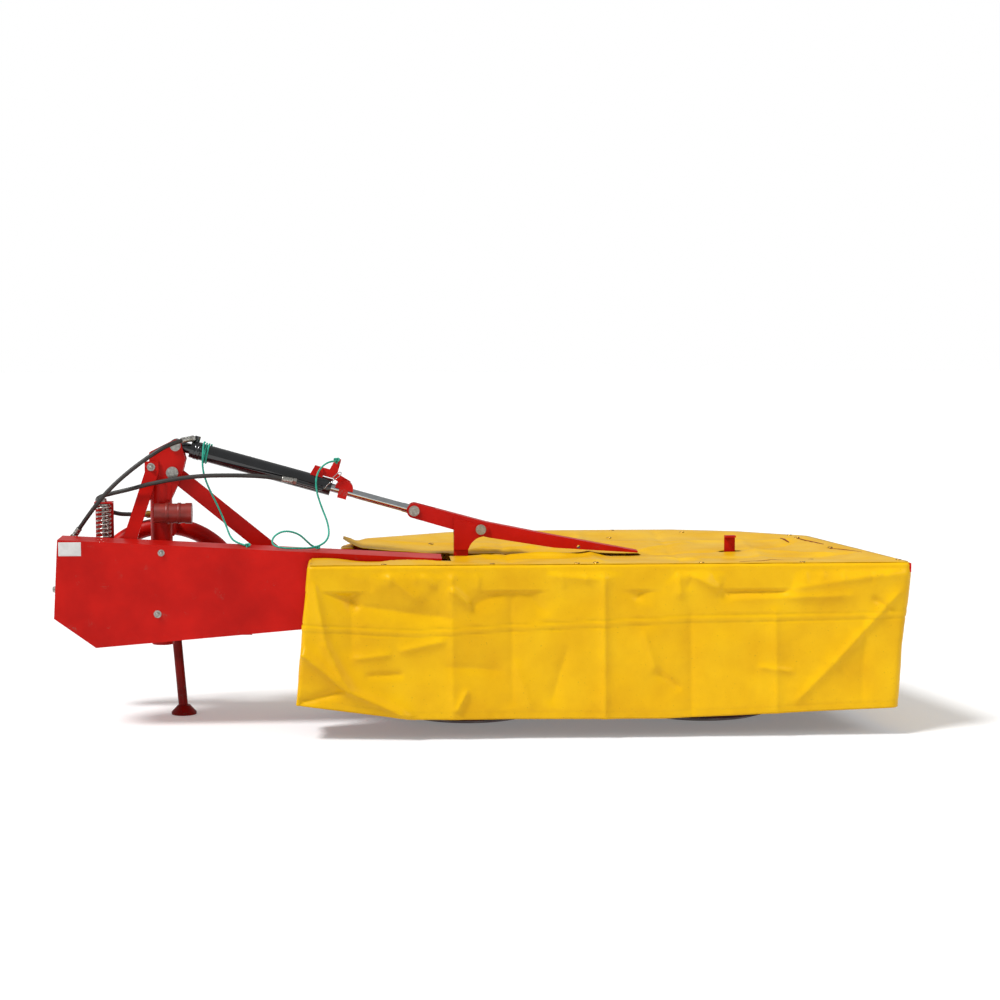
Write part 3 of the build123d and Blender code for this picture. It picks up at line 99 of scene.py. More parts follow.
# %% A surface with drifting colour, roughness and bump
def surface(name, colours, rough, metallic=0.0, drift_mm=60.0, grain_mm=2.0, bump=0.1, bump_mm=0.3, ior=1.5,
            coat=0.0, stretch=(1, 1, 1)):
    """Make a material. Its colour runs between two colours over drift_mm, and its bump has grains of grain_mm."""
    material = bpy.data.materials.new(name)
    material.use_nodes = True
    tree = material.node_tree
    shader = tree.nodes["Principled BSDF"]
    place = add_node(tree, "ShaderNodeTexCoord").outputs["Object"]
    turned = add_node(tree, "ShaderNodeMapping", inputs={"Vector": place, "Scale": stretch}).outputs["Vector"]
    broad = add_node(tree, "ShaderNodeTexNoise", inputs={
        "Vector": turned, "Scale": 1 / (drift_mm * mm), "Detail": 5.0, "Roughness": 0.6})
    ramp = add_node(tree, "ShaderNodeValToRGB", inputs={"Fac": broad.outputs["Fac"]}, stops=[
        (0.32, linear(colours[0])), (0.68, linear(colours[1]))])
    tree.links.new(ramp.outputs["Color"], shader.inputs["Base Color"])
    spread = add_node(tree, "ShaderNodeMapRange", inputs={
        "Value": broad.outputs["Fac"], "From Min": 0.3, "From Max": 0.7, "To Min": rough[0], "To Max": rough[1]})
    tree.links.new(spread.outputs["Result"], shader.inputs["Roughness"])
    fine = add_node(tree, "ShaderNodeTexNoise", inputs={
        "Vector": turned, "Scale": 1 / (grain_mm * mm), "Detail": 2.0})
    raised = add_node(tree, "ShaderNodeBump", inputs={
        "Height": fine.outputs["Fac"], "Strength": bump, "Distance": bump_mm * mm})
    tree.links.new(raised.outputs["Normal"], shader.inputs["Normal"])
    shader.inputs["Metallic"].default_value = metallic
    if not metallic:
        shader.inputs["IOR"].default_value = ior
    shader.inputs["Coat Weight"].default_value = coat
    return material


def dress(material, slot, *names):
    """Give a material to CAD nodes, by name."""
    for name in names:
        slots = nodes[name].material_slots
        for place in slots:
            place.material = material
        if not slots:
            nodes[name].data.materials.append(material)
    print(material.name, "on", ", ".join(names), "| slot", slot)


# %% [markdown]
# The camera stands about 8 m behind the machine, at 1.53 m, turned 3 degrees to the right and looking 5.5
# degrees down. A focal length of 2280 pixels on a frame of 1000 makes a lens of 82 mm.

# %% Camera
camera_place = Vector((-0.30826, -8.019, 1.530))
yaw, pitch = math.radians(3.0), math.radians(5.51)
image_pixels, focal_pixels, sensor_mm = 1000, 2280, 36.0
looking = Vector((math.sin(yaw) * math.cos(pitch), math.cos(yaw) * math.cos(pitch), -math.sin(pitch)))

camera_data = bpy.data.cameras.new("camera")
camera_data.sensor_width = sensor_mm
camera_data.lens = focal_pixels / image_pixels * sensor_mm
camera_data.clip_end = 100
camera = bpy.data.objects.new("camera", camera_data)
camera.location = camera_place
camera.rotation_mode = "QUATERNION"
camera.rotation_quaternion = looking.to_track_quat("-Z", "Y")
bpy.context.scene.collection.objects.link(camera)
bpy.context.scene.camera = camera
print("lens", round(camera_data.lens, 2), "mm")

# %% [markdown]
# A mesh of our own starts as lists of points and faces. One function turns them into a piece, gives it its
# finish, and lets it ride on its body, so that nothing is left behind when the machine moves.

# %% Pieces from points and faces
def piece_from(name, points, faces, material, body=None, smooth=True, uvs=None):
    """Make a mesh object at the origin. uvs holds one pair for each point."""
    mesh = bpy.data.meshes.new(name)
    mesh.from_pydata([tuple(p) for p in points], [], [tuple(f) for f in faces])
    mesh.polygons.foreach_set("use_smooth", [smooth] * len(mesh.polygons))
    if uvs is not None:
        layer = mesh.uv_layers.new(name="surface")
        corners = np.zeros(len(mesh.loops), np.int32)
        mesh.loops.foreach_get("vertex_index", corners)
        layer.data.foreach_set("uv", np.array(uvs, np.float32)[corners].ravel())
    mesh.materials.append(material)
    piece = bpy.data.objects.new(name, mesh)
    bpy.context.scene.collection.objects.link(piece)
    if body:
        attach(piece, body)
    return piece


def joined(parts):
    """One list of points, one of faces and one of UV pairs, from several of each."""
    points, faces, uvs = [], [], []
    for some_points, some_faces, some_uvs in parts:
        faces += [tuple(index + len(points) for index in face) for face in some_faces]
        points += some_points
        uvs += some_uvs
    return points, faces, uvs

# %% [markdown]
# Hoses and ropes come first, because they take up room that nothing else may use. Each one is a smooth spline
# through listed control points: out of its fitting, over what carries it, and down to its rest. The real
# ones are rubber hoses of 15 mm over steel braid, which hardly bend, and a limp three-strand rope of 7 mm. A
# mesh tube that follows the spline can carry a pattern round it.

# %% Routes of the hoses and ropes
hose_diameter = 15 * mm
rope_diameter = 7 * mm
hose_base_route = [
    (-1.368, -0.128, 0.648), (-1.3034, -0.165, 0.7405), (-1.230, -0.170, 0.827), (-1.128, -0.150, 0.911),
    (-1.022, -0.124, 0.977), (-0.967, -0.0786, 0.9811)]
hose_rod_route = [
    (-0.6139, -0.112, 0.837), (-0.688, -0.1155, 0.852), (-0.816, -0.120, 0.858), (-0.957, -0.125, 0.856),
    (-1.097, -0.135, 0.833), (-1.172, -0.134, 0.812), (-1.236, -0.122, 0.797), (-1.284, -0.084, 0.782),
    (-1.302, -0.026, 0.762), (-1.284, 0.028, 0.730), (-1.240, 0.062, 0.706), (-1.180, 0.072, 0.704),
    (-1.1383, 0.072, 0.704)]
latch_rope_route = [
    (-0.462, -0.0669, 0.904), (-0.466, -0.090, 0.904), (-0.499, -0.112, 0.899), (-0.530, -0.122, 0.866),
    (-0.535, -0.130, 0.812), (-0.516, -0.132, 0.750), (-0.490, -0.150, 0.688), (-0.488, -0.192, 0.640),
    (-0.530, -0.240, 0.617), (-0.600, -0.270, 0.619), (-0.648, -0.276, 0.621), (-0.682, -0.256, 0.631),
    (-0.678, -0.232, 0.657), (-0.640, -0.220, 0.676), (-0.592, -0.212, 0.664), (-0.562, -0.204, 0.634),
    (-0.546, -0.1975, 0.618), (-0.528, -0.192, 0.6115)]
mast_rope_route = [
    (-0.9194, -0.060, 0.9686), (-0.9205, -0.098, 0.9695), (-0.9235, -0.107, 0.932), (-0.926, -0.107, 0.880),
    (-0.910, -0.106, 0.823), (-0.874, -0.106, 0.750), (-0.846, -0.112, 0.684), (-0.829, -0.145, 0.642),
    (-0.800, -0.196, 0.629), (-0.762, -0.240, 0.6244)]


def spline_line(control_points):
    """Points along the smooth spline that these control points pull."""
    curve = bpy.data.curves.new("route", "CURVE")
    curve.dimensions = "3D"
    curve.resolution_u = 16
    spline = curve.splines.new("NURBS")
    spline.points.add(len(control_points) - 1)
    for point, place in zip(spline.points, control_points):
        point.co = (*place, 1.0)
    spline.order_u = 3
    spline.use_endpoint_u = True
    holder = bpy.data.objects.new("route", curve)
    mesh = bpy.data.meshes.new_from_object(holder)
    line = np.array([v.co for v in mesh.vertices])
    bpy.data.objects.remove(holder)
    return line


print("a route becomes", len(spline_line(hose_rod_route)), "points")

# %% [markdown]
# A tube needs, at each place along its line, two directions square to the line, and they must not spin by
# themselves from one place to the next. So each pair starts from the last one and is only straightened.

# %% Tubes that follow a line
class Line:
    """A line that can be asked for its place and its square directions at any distance from its start."""

    def __init__(self, points):
        points = np.array(points, float)
        steps = np.linalg.norm(np.diff(points, axis=0), axis=1)
        self.points = points[np.concatenate([[True], steps > 1e-7])]
        steps = np.linalg.norm(np.diff(self.points, axis=0), axis=1)
        self.travelled = np.concatenate([[0.0], np.cumsum(steps)])
        self.length = self.travelled[-1]
        ahead = np.gradient(self.points, self.travelled, axis=0)
        self.ahead = ahead / np.linalg.norm(ahead, axis=1)[:, None]
        start = np.array([0.0, 0.0, 1.0]) if abs(self.ahead[0, 2]) < 0.9 else np.array([1.0, 0.0, 0.0])
        sides = []
        for direction in self.ahead:
            start = start - direction * (start @ direction)
            start = start / np.linalg.norm(start)
            sides.append(start)
        self.sides = np.array(sides)

    def at(self, distance):
        """Place, direction and two square directions at a distance. Past an end the line runs straight on."""
        inside = min(max(distance, 0.0), self.length)
        place, ahead, side = (
            np.array([np.interp(inside, self.travelled, values[:, axis]) for axis in range(3)])
            for values in (self.points, self.ahead, self.sides))
        ahead = ahead / np.linalg.norm(ahead)
        side = side - ahead * (side @ ahead)
        side = side / np.linalg.norm(side)
        return place + ahead * (distance - inside), ahead, side, np.cross(ahead, side)


def tube(line, stations, sides, shape=None):
    """Closed tube through stations of (distance, radius). shape gives a share of the radius at an angle."""
    angles = [2 * math.pi * index / sides for index in range(sides)]
    points, faces, uvs = [], [], []
    for distance, radius in stations:
        place, _, side, other = line.at(distance)
        for angle in angles:
            share = shape(angle, distance) if shape else 1.0
            points.append(place + (side * math.cos(angle) + other * math.sin(angle)) * radius * share)
            uvs.append((angle / (2 * math.pi), distance))
    for ring in range(len(stations) - 1):
        for index in range(sides):
            low, high = ring * sides, (ring + 1) * sides
            after = (index + 1) % sides
            faces.append((low + index, low + after, high + after, high + index))
    for ring, order in ((0, -1), (len(stations) - 1, 1)):
        points.append(line.at(stations[ring][0])[0])
        uvs.append((0.5, stations[ring][0]))
        for index in range(sides):
            pair = (ring * sides + index, ring * sides + (index + 1) % sides)[::order]
            faces.append((*pair, len(points) - 1))
    return points, faces, uvs


def even_stations(start, end, step, radius):
    """Stations of one radius at even distances."""
    count = max(2, round((end - start) / step))
    return [(start + (end - start) * index / count, radius) for index in range(count + 1)]


test_line = Line(spline_line(hose_base_route))
print("base hose runs", round(test_line.length, 3), "m")

# %% [markdown]
# Hydraulic hose is black rubber that has gone a little grey and dull, with the mark of its cloth wrap: fine
# crossing lines that were pressed in while it was cured. The pattern follows the hose by its own UV map, in
# metres along it and in turns round it. The wrap's real pitch of 1.5 mm is too fine for the picture, so it is
# drawn at 4.

# %% Finishes of hoses and ropes
hose_rubber = surface("hose_rubber_wrapped", ("#1D1C1B", "#34312D"), (0.42, 0.62), drift_mm=40, grain_mm=1.5)
tree = hose_rubber.node_tree
along_hose = add_node(tree, "ShaderNodeUVMap", {"uv_map": "surface"}).outputs["UV"]
wrap_place = add_node(tree, "ShaderNodeMapping", inputs={
    "Vector": along_hose, "Scale": (2.0, 1 / (4 * mm) / 6.0, 1.0), "Rotation": (0.0, 0.0, 0.35)}).outputs["Vector"]
wrap = add_node(tree, "ShaderNodeTexWave", {"wave_type": "BANDS", "bands_direction": "Y"}, {
    "Vector": wrap_place, "Scale": 3.0, "Distortion": 0.4})
bump = next(n for n in tree.nodes if n.bl_idname == "ShaderNodeBump")
wrap_bump = add_node(tree, "ShaderNodeBump", inputs={
    "Height": wrap.outputs["Fac"], "Strength": 0.25, "Distance": 0.25 * mm, "Normal": bump.outputs["Normal"]})
tree.links.new(wrap_bump.outputs["Normal"], tree.nodes["Principled BSDF"].inputs["Normal"])

# Polypropylene rope: bright fibres with darker valleys, slightly waxy, so its roughness stays middling.
rope_fibre = surface("rope_polypropylene", ("#0F8C76", "#2DB59A"), (0.45, 0.60), drift_mm=9, grain_mm=1.0, bump=0.3)
tree = rope_fibre.node_tree
along_rope = add_node(tree, "ShaderNodeUVMap", {"uv_map": "surface"}).outputs["UV"]
fibre_place = add_node(tree, "ShaderNodeMapping", inputs={
    "Vector": along_rope, "Scale": (24.0, 90.0, 1.0), "Rotation": (0.0, 0.0, 0.5)}).outputs["Vector"]
fibres = add_node(tree, "ShaderNodeTexNoise", inputs={"Vector": fibre_place, "Scale": 1.0, "Detail": 3.0})
bump = next(n for n in tree.nodes if n.bl_idname == "ShaderNodeBump")
fibre_bump = add_node(tree, "ShaderNodeBump", inputs={
    "Height": fibres.outputs["Fac"], "Strength": 0.5, "Distance": 0.4 * mm, "Normal": bump.outputs["Normal"]})
tree.links.new(fibre_bump.outputs["Normal"], tree.nodes["Principled BSDF"].inputs["Normal"])
print("made", hose_rubber.name, "and", rope_fibre.name)

# %% [markdown]
# The hoses: a plain round tube on each line. One end is screwed to the lift cylinder and the other to the
# frame.

# %% Hoses
hoses = {}
for name, route, blend_start, blend_end in [
        ("base_hose", hose_base_route, (-1.128, -0.150, 0.911), (-0.985, -0.100, 0.978)),
        ("rod_hose", hose_rod_route, (-1.172, -0.134, 0.812), (-0.688, -0.1155, 0.852))]:
    line = Line(spline_line(route))
    points, faces, uvs = tube(line, even_stations(0.0, line.length, 4 * mm, hose_diameter / 2), 20)
    hose = piece_from(name, points, faces, hose_rubber, uvs=uvs)
    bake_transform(hose)
    hoses[name] = (hose, line)
    print(name, round(line.length, 3), "m,", len(faces), "faces")

# %% [markdown]
# The rope has three strands laid round each other, one turn in 22 mm. In cross-section that is a circle with
# three sharp valleys, and the valleys turn as the rope goes along. One tube with that section shows the lay
# from all sides, and it stays one closed surface, which three crossing tubes would not.

# %% Ropes
rope_lay = 22 * mm
valley_depth = 0.22


def three_strands(angle, distance):
    """Share of the rope's radius at an angle: three round strands with valleys between them."""
    turned = angle - 2 * math.pi * distance / rope_lay
    return 1.0 - valley_depth * (1.0 - abs(math.cos(1.5 * turned)))


for name, route, blend_start, blend_end in [
        ("latch_pull_rope", latch_rope_route, (-0.530, -0.240, 0.650), (-0.500, -0.100, 0.895)),
        ("mast_tie_rope", mast_rope_route, (-0.829, -0.145, 0.642), (-0.931, -0.100, 0.940))]:
    line = Line(spline_line(route))
    stations = even_stations(0.0, line.length, 1.6 * mm, rope_diameter / 2)
    points, faces, uvs = tube(line, stations, 18, three_strands)
    rope = piece_from(name, points, faces, rope_fibre, uvs=uvs)
    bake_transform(rope)
    print(name, round(line.length, 3), "m,", len(faces), "faces")

# %% [markdown]
# The stage is a plain pale floor under soft studio light. A diffuse white floor looks light grey under a
# light that shows colours as they are, so for the camera alone it also glows a little. Then the open floor is
# white like the background, and the machine's shadow still darkens it, because the glow only adds to what the
# light leaves there.

# %% Floor and background
floor_white = bpy.data.materials.new("floor_matt_paint")
floor_white.use_nodes = True
tree = floor_white.node_tree
shader = tree.nodes["Principled BSDF"]
floor_place = add_node(tree, "ShaderNodeTexCoord").outputs["Object"]
floor_grain = add_node(tree, "ShaderNodeTexNoise", inputs={"Vector": floor_place, "Scale": 400.0})
floor_bump = add_node(tree, "ShaderNodeBump", inputs={
    "Height": floor_grain.outputs["Fac"], "Strength": 0.05, "Distance": 0.2 * mm})
tree.links.new(floor_bump.outputs["Normal"], shader.inputs["Normal"])
shader.inputs["Base Color"].default_value = linear("#E9E9E9")
shader.inputs["Roughness"].default_value = 0.9
shader.inputs["Emission Color"].default_value = (1.0, 1.0, 1.0, 1.0)
rays = add_node(tree, "ShaderNodeLightPath")
seen = add_node(tree, "ShaderNodeMath", {"operation": "MAXIMUM"}, {
    0: rays.outputs["Is Camera Ray"], 1: rays.outputs["Is Glossy Ray"]})
glow = add_node(tree, "ShaderNodeMath", {"operation": "MULTIPLY"}, {0: seen.outputs[0], 1: 0.20})
tree.links.new(glow.outputs[0], shader.inputs["Emission Strength"])

floor_half = 30.0
floor = piece_from("floor", [
    (-floor_half, -floor_half, 0), (floor_half, -floor_half, 0), (floor_half, floor_half, 0),
    (-floor_half, floor_half, 0)], [(0, 1, 2, 3)], floor_white, smooth=False)

world = bpy.data.worlds.new("studio")
bpy.context.scene.world = world
world.use_nodes = True
tree = world.node_tree
rays = add_node(tree, "ShaderNodeLightPath")
seen = add_node(tree, "ShaderNodeMath", {"operation": "MAXIMUM"}, {
    0: rays.outputs["Is Camera Ray"], 1: rays.outputs["Is Transmission Ray"]})
bright = add_node(tree, "ShaderNodeMapRange", inputs={
    "Value": seen.outputs[0], "To Min": 0.40, "To Max": 1.0})
tree.links.new(bright.outputs["Result"], tree.nodes["Background"].inputs["Strength"])
tree.nodes["Background"].inputs["Color"].default_value = (1.0, 1.0, 1.0, 1.0)
print("floor", floor_half * 2, "m wide")

# %% [markdown]
# Two lamps shape the machine: a wide sun from high on the left behind the camera, as on the day, and a long
# soft panel on the right that puts a gentle sheen on coated cloth and paint.

# %% Lamps
def lamp(name, kind, place, target, strength, **sizes):
    """Add one lamp that looks at a target."""
    data = bpy.data.lights.new(name, kind)
    data.energy = strength
    for size_name, value in sizes.items():
        setattr(data, size_name, value)
    holder = bpy.data.objects.new(name, data)
    holder.location = place
    holder.rotation_mode = "QUATERNION"
    holder.rotation_quaternion = (Vector(target) - Vector(place)).to_track_quat("-Z", "Y")
    bpy.context.scene.collection.objects.link(holder)
    return holder


lamp("sun", "SUN", (-3.9, -2.5, 6.4), (0, 0, 0.3), 3.0, angle=math.radians(15))
lamp("panel_right", "AREA", (4.5, -4.0, 3.0), (0.5, 0, 0.4), 60, shape="RECTANGLE", size=3.0, size_y=1.5)
bpy.context.scene.view_settings.view_transform = "Standard"

# %% [markdown]
# The steelwork is powder-coated: sprayed as dry paint and baked, which leaves a thick, glossy skin with a
# faint orange peel about 3 mm across. The red has faded a little on the top faces and holds dust in its
# corners, so a broad noise mixes a duller red in, and small chips show the grey primer where tools and chains
# have touched it.

# %% Red powder coat
def add_chips(material, hex_colour, size_mm, share, seed):
    """Mix small chips of another colour into a finish, over a share of its surface."""
    tree = material.node_tree
    shader = tree.nodes["Principled BSDF"]
    under = shader.inputs["Base Color"].links[0].from_socket
    place = add_node(tree, "ShaderNodeTexCoord").outputs["Object"]
    moved = add_node(tree, "ShaderNodeMapping", inputs={"Vector": place, "Location": (seed, seed, 0)})
    spots = add_node(tree, "ShaderNodeTexNoise", inputs={
        "Vector": moved.outputs["Vector"], "Scale": 1 / (size_mm * mm), "Detail": 3.0, "Roughness": 0.7})
    areas = add_node(tree, "ShaderNodeTexNoise", inputs={
        "Vector": moved.outputs["Vector"], "Scale": 1 / (size_mm * 20 * mm), "Detail": 2.0})
    both = add_node(tree, "ShaderNodeMath", {"operation": "MULTIPLY"}, {
        0: spots.outputs["Fac"], 1: areas.outputs["Fac"]})
    edge = add_node(tree, "ShaderNodeMapRange", inputs={
        "Value": both.outputs[0], "From Min": 0.44 - share, "From Max": 0.46 - share})
    mixed = add_node(tree, "ShaderNodeMix", {"data_type": "RGBA"}, {
        0: edge.outputs["Result"], 6: under, 7: linear(hex_colour)})
    tree.links.new(mixed.outputs[2], shader.inputs["Base Color"])
    return material


red_coat = surface("powder_coat_red", ("#C8140A", "#AE0E07"), (0.28, 0.42), drift_mm=180, grain_mm=3.0,
                   bump=0.12, bump_mm=0.25, ior=1.30, coat=0.0)
add_chips(red_coat, "#6E625C", 2.4, 0.012, 1.7)
# A darker copy of the same red paints shade on the gear case, the drums and the parking stand. Its chips are wear.
red_coat_painted_shade = surface("powder_coat_red_shaded_side", ("#8E0E07", "#6E0A05"), (0.34, 0.5), drift_mm=120,
                        grain_mm=3.0, bump=0.12, bump_mm=0.25, ior=1.30)
add_chips(red_coat_painted_shade, "#5A4A44", 4.0, 0.06, 4.1)

for coat in (red_coat, red_coat_painted_shade):
    coat.node_tree.nodes["Principled BSDF"].inputs["Specular IOR Level"].default_value = 0.35

red_nodes = [
    "hitch_bow", "hitch_cross_tube", "king_post", "mast_plates", "mast_brace", "mast_stay", "top_link_ears",
    "post_gussets", "carrying_beam", "drive_plate", "input_housing", "belt_guard", "spring_bracket",
    "stand_sleeve", "coupler_rest", "arm_post", "lift_arm", "latch_lug", "latch_hook", "hook_bracket",
    "curtain_rail", "deck_tubes"]
dress(red_coat, "red", *red_nodes)
# The gear case, the drums and the stand get the red with painted shade.
dress(red_coat_painted_shade, "red", "gear_case", "drum_1", "drum_2", "parking_stand")

# %% [markdown]
# The lift cylinder is sprayed black with a hard gloss, its rod is ground and chrome-plated, and the pins are
# turned steel with a thin zinc layer. Metals keep the shader's own reflection values, and differ by colour
# and roughness: chrome is bluish and nearly a mirror, zinc is pale and cloudy, spring steel dark with a hint
# of oil.

# %% Metals and black gloss paint
black_gloss = surface("black_gloss_paint", ("#0B0C0E", "#16181B"), (0.10, 0.20), drift_mm=90, grain_mm=4.0,
                      bump=0.06, coat=0.6)
chrome = surface("chrome_ground_rod", ("#C9CCCE", "#B2B6B9"), (0.08, 0.18), metallic=1.0, drift_mm=30,
                 grain_mm=0.6, bump=0.04, stretch=(1, 1, 6))
zinc = surface("zinc_plated_steel", ("#B9B7B0", "#8D8B86"), (0.28, 0.48), metallic=1.0, drift_mm=6, grain_mm=1.2,
               bump=0.12)
spring_steel = surface("spring_steel_galvanised", ("#D2D0CA", "#A3A19B"), (0.22, 0.36), metallic=1.0, drift_mm=8,
                       grain_mm=0.8, bump=0.15)
cast_iron = surface("cast_iron_machined", ("#56524E", "#3D3A37"), (0.40, 0.6), metallic=0.7, drift_mm=25,
                    grain_mm=1.5, bump=0.25)
worn_steel = surface("dish_steel_scoured", ("#6E150D", "#3A100C"), (0.35, 0.6), metallic=0.15, drift_mm=50,
                     grain_mm=2.0, bump=0.2, coat=0.1)
add_chips(worn_steel, "#6F6A66", 6.0, 0.10, 2.9)
knife_steel = surface("knife_hardened_steel", ("#77736D", "#57524D"), (0.3, 0.5), metallic=1.0, drift_mm=12,
                      grain_mm=1.0, bump=0.15)
belt_rubber = surface("belt_rubber", ("#1B1A19", "#2C2A28"), (0.55, 0.75), drift_mm=20, grain_mm=1.5, bump=0.2)
tube_plastic = surface("tube_red_polypropylene", ("#8E2A22", "#6B2019"), (0.35, 0.5), drift_mm=40, grain_mm=2.0,
                       bump=0.08)
brass = surface("brass_turned", ("#B98F45", "#8F6A2C"), (0.22, 0.4), metallic=1.0, drift_mm=8, grain_mm=0.8,
                bump=0.08)

dress(black_gloss, "black", "cylinder_tube")
dress(chrome, "chrome", "piston_rod")
dress(zinc, "steel", "link_pins", "mast_pins", "guard_studs", "spring_rod", "arm_pins", "pto_shaft")
dress(spring_steel, "spring", "tension_spring")
dress(cast_iron, "iron", "drive_pulley", "driven_pulley")
dress(worn_steel, "dish", "dish_1", "dish_2")
dress(knife_steel, "steel", "knives_1", "knives_2")
dress(belt_rubber, "belt", "v_belts")
dress(tube_plastic, "tube", "document_tube")
dress(brass, "steel", "hose_couplers")

# %% [markdown]
# The curtain keeps stones from flying out of the mower. It is truck tarpaulin: polyester cloth coated with
# yellow PVC, 0.6 mm thick, stiff enough to keep the fold marks of its parcel for years. It hangs over a steel
# rail, with its upper edge folded inwards over the rail and a top sheet laced on with eyelets. The skirt is
# modelled as one continuous strip: a plan line round the rail gives each place along it, and a short profile,
# in over the rail, round its corner and down, gives the height. Creases are then drawn as lines on the strip.
# Each one pushes the cloth out or in, sharply at the line and fading away from it, as stiff cloth folds.

# %% The curtain's plan and its sizes
cloth_half = 0.7 * mm
rail_top_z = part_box("curtain_rail")[1].z
top_low, top_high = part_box("curtain_top")
near_y, right_x = top_low.y, top_high.x
near_left_x = top_low.x
far_left_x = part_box("curtain_far")[0].x
slot_near_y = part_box("curtain_left")[1].y
corner_roll = 10 * mm
hem_sway = near_left_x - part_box("curtain_near")[0].x
skirt_plan = [
    (near_left_x, slot_near_y), (near_left_x, near_y), (right_x, near_y), (1.267, 0.290), (1.030, 0.450),
    (0.789, 0.525), (0.329, 0.525), (-0.062, 0.480), (-0.372, 0.285), (far_left_x, 0.075), (far_left_x, -0.010)]
plan_radii = [0, 0.016, 0.028, 0.05, 0.05, 0.05, 0.05, 0.05, 0.05, 0.05, 0]
right_far_corner = (1.267, 0.290)
lip_depth = 46 * mm
most_outward = 30 * mm
hem_heights = [(0.0, 0.122), (0.19, 0.072), (0.60, 0.068), (1.0, 0.099)]
far_hem_z = 0.093


def rounded_plan(corners, radii, steps=6):
    """The corners of a plan line, each drawn as a short arc."""
    line = []
    for index, (corner, radius) in enumerate(zip(corners, radii)):
        here = np.array(corner, float)
        if radius == 0:
            line.append(here)
            continue
        before = np.array(corners[index - 1], float) - here
        after = np.array(corners[index + 1], float) - here
        before, after = before / np.linalg.norm(before), after / np.linalg.norm(after)
        half = math.acos(np.clip(before @ after, -1, 1)) / 2
        reach = radius / math.tan(half)
        middle = here + (before + after) / np.linalg.norm(before + after) * radius / math.sin(half)
        first, last = here + before * reach - middle, here + after * reach - middle
        turn = math.atan2(first[0] * last[1] - first[1] * last[0], first @ last)
        for step in range(steps + 1):
            c, s = math.cos(turn * step / steps), math.sin(turn * step / steps)
            line.append(middle + np.array([first[0] * c - first[1] * s, first[0] * s + first[1] * c]))
    return np.array(line)


plan = rounded_plan(skirt_plan, plan_radii)
plan_steps = np.linalg.norm(np.diff(plan, axis=0), axis=1)
plan_travelled = np.concatenate([[0.0], np.cumsum(plan_steps)])
print("skirt runs", round(plan_travelled[-1], 2), "m round the rail")

# %% [markdown]
# A crease is a line from one place to another with a height, a reach and the sharpness of its top. Heights
# are outward if positive. Stiff coated cloth bends in flat facets that meet in such lines, so a handful of
# crossing creases looks more like tarpaulin than any amount of soft noise. A little noise is added for the
# waviness between.

# %% Creases and waves
def fold_heights(places, creases):
    """Height at each of many places from creases of (x1, z1, x2, z2, height, reach)."""
    total = np.zeros(len(places))
    for x1, z1, x2, z2, height, reach in creases:
        start, run = np.array([x1, z1]), np.array([x2 - x1, z2 - z1])
        length = math.hypot(*run)
        offset = places - start
        along = offset @ run / length ** 2
        across = np.abs(offset @ np.array([-run[1], run[0]])) / length
        beyond = np.maximum(0.0, np.maximum(-along, along - 1.0)) * length
        distance = np.sqrt(across ** 2 + beyond ** 2 + (1.5 * mm) ** 2)
        fade = np.clip(np.minimum(along + 0.12, 1.12 - along) / 0.24, 0.0, 1.0)
        total += height * np.exp(-distance / (0.82 * reach)) * (0.25 + 0.75 * fade)
    return total


def waves(points, size, seed):
    """Smooth noise at each of many points, between about -1 and 1."""
    shift = Vector((seed * 7.3, seed * 3.1, seed * 5.7))
    return np.array([noise.noise(Vector(point) / size + shift) for point in points])


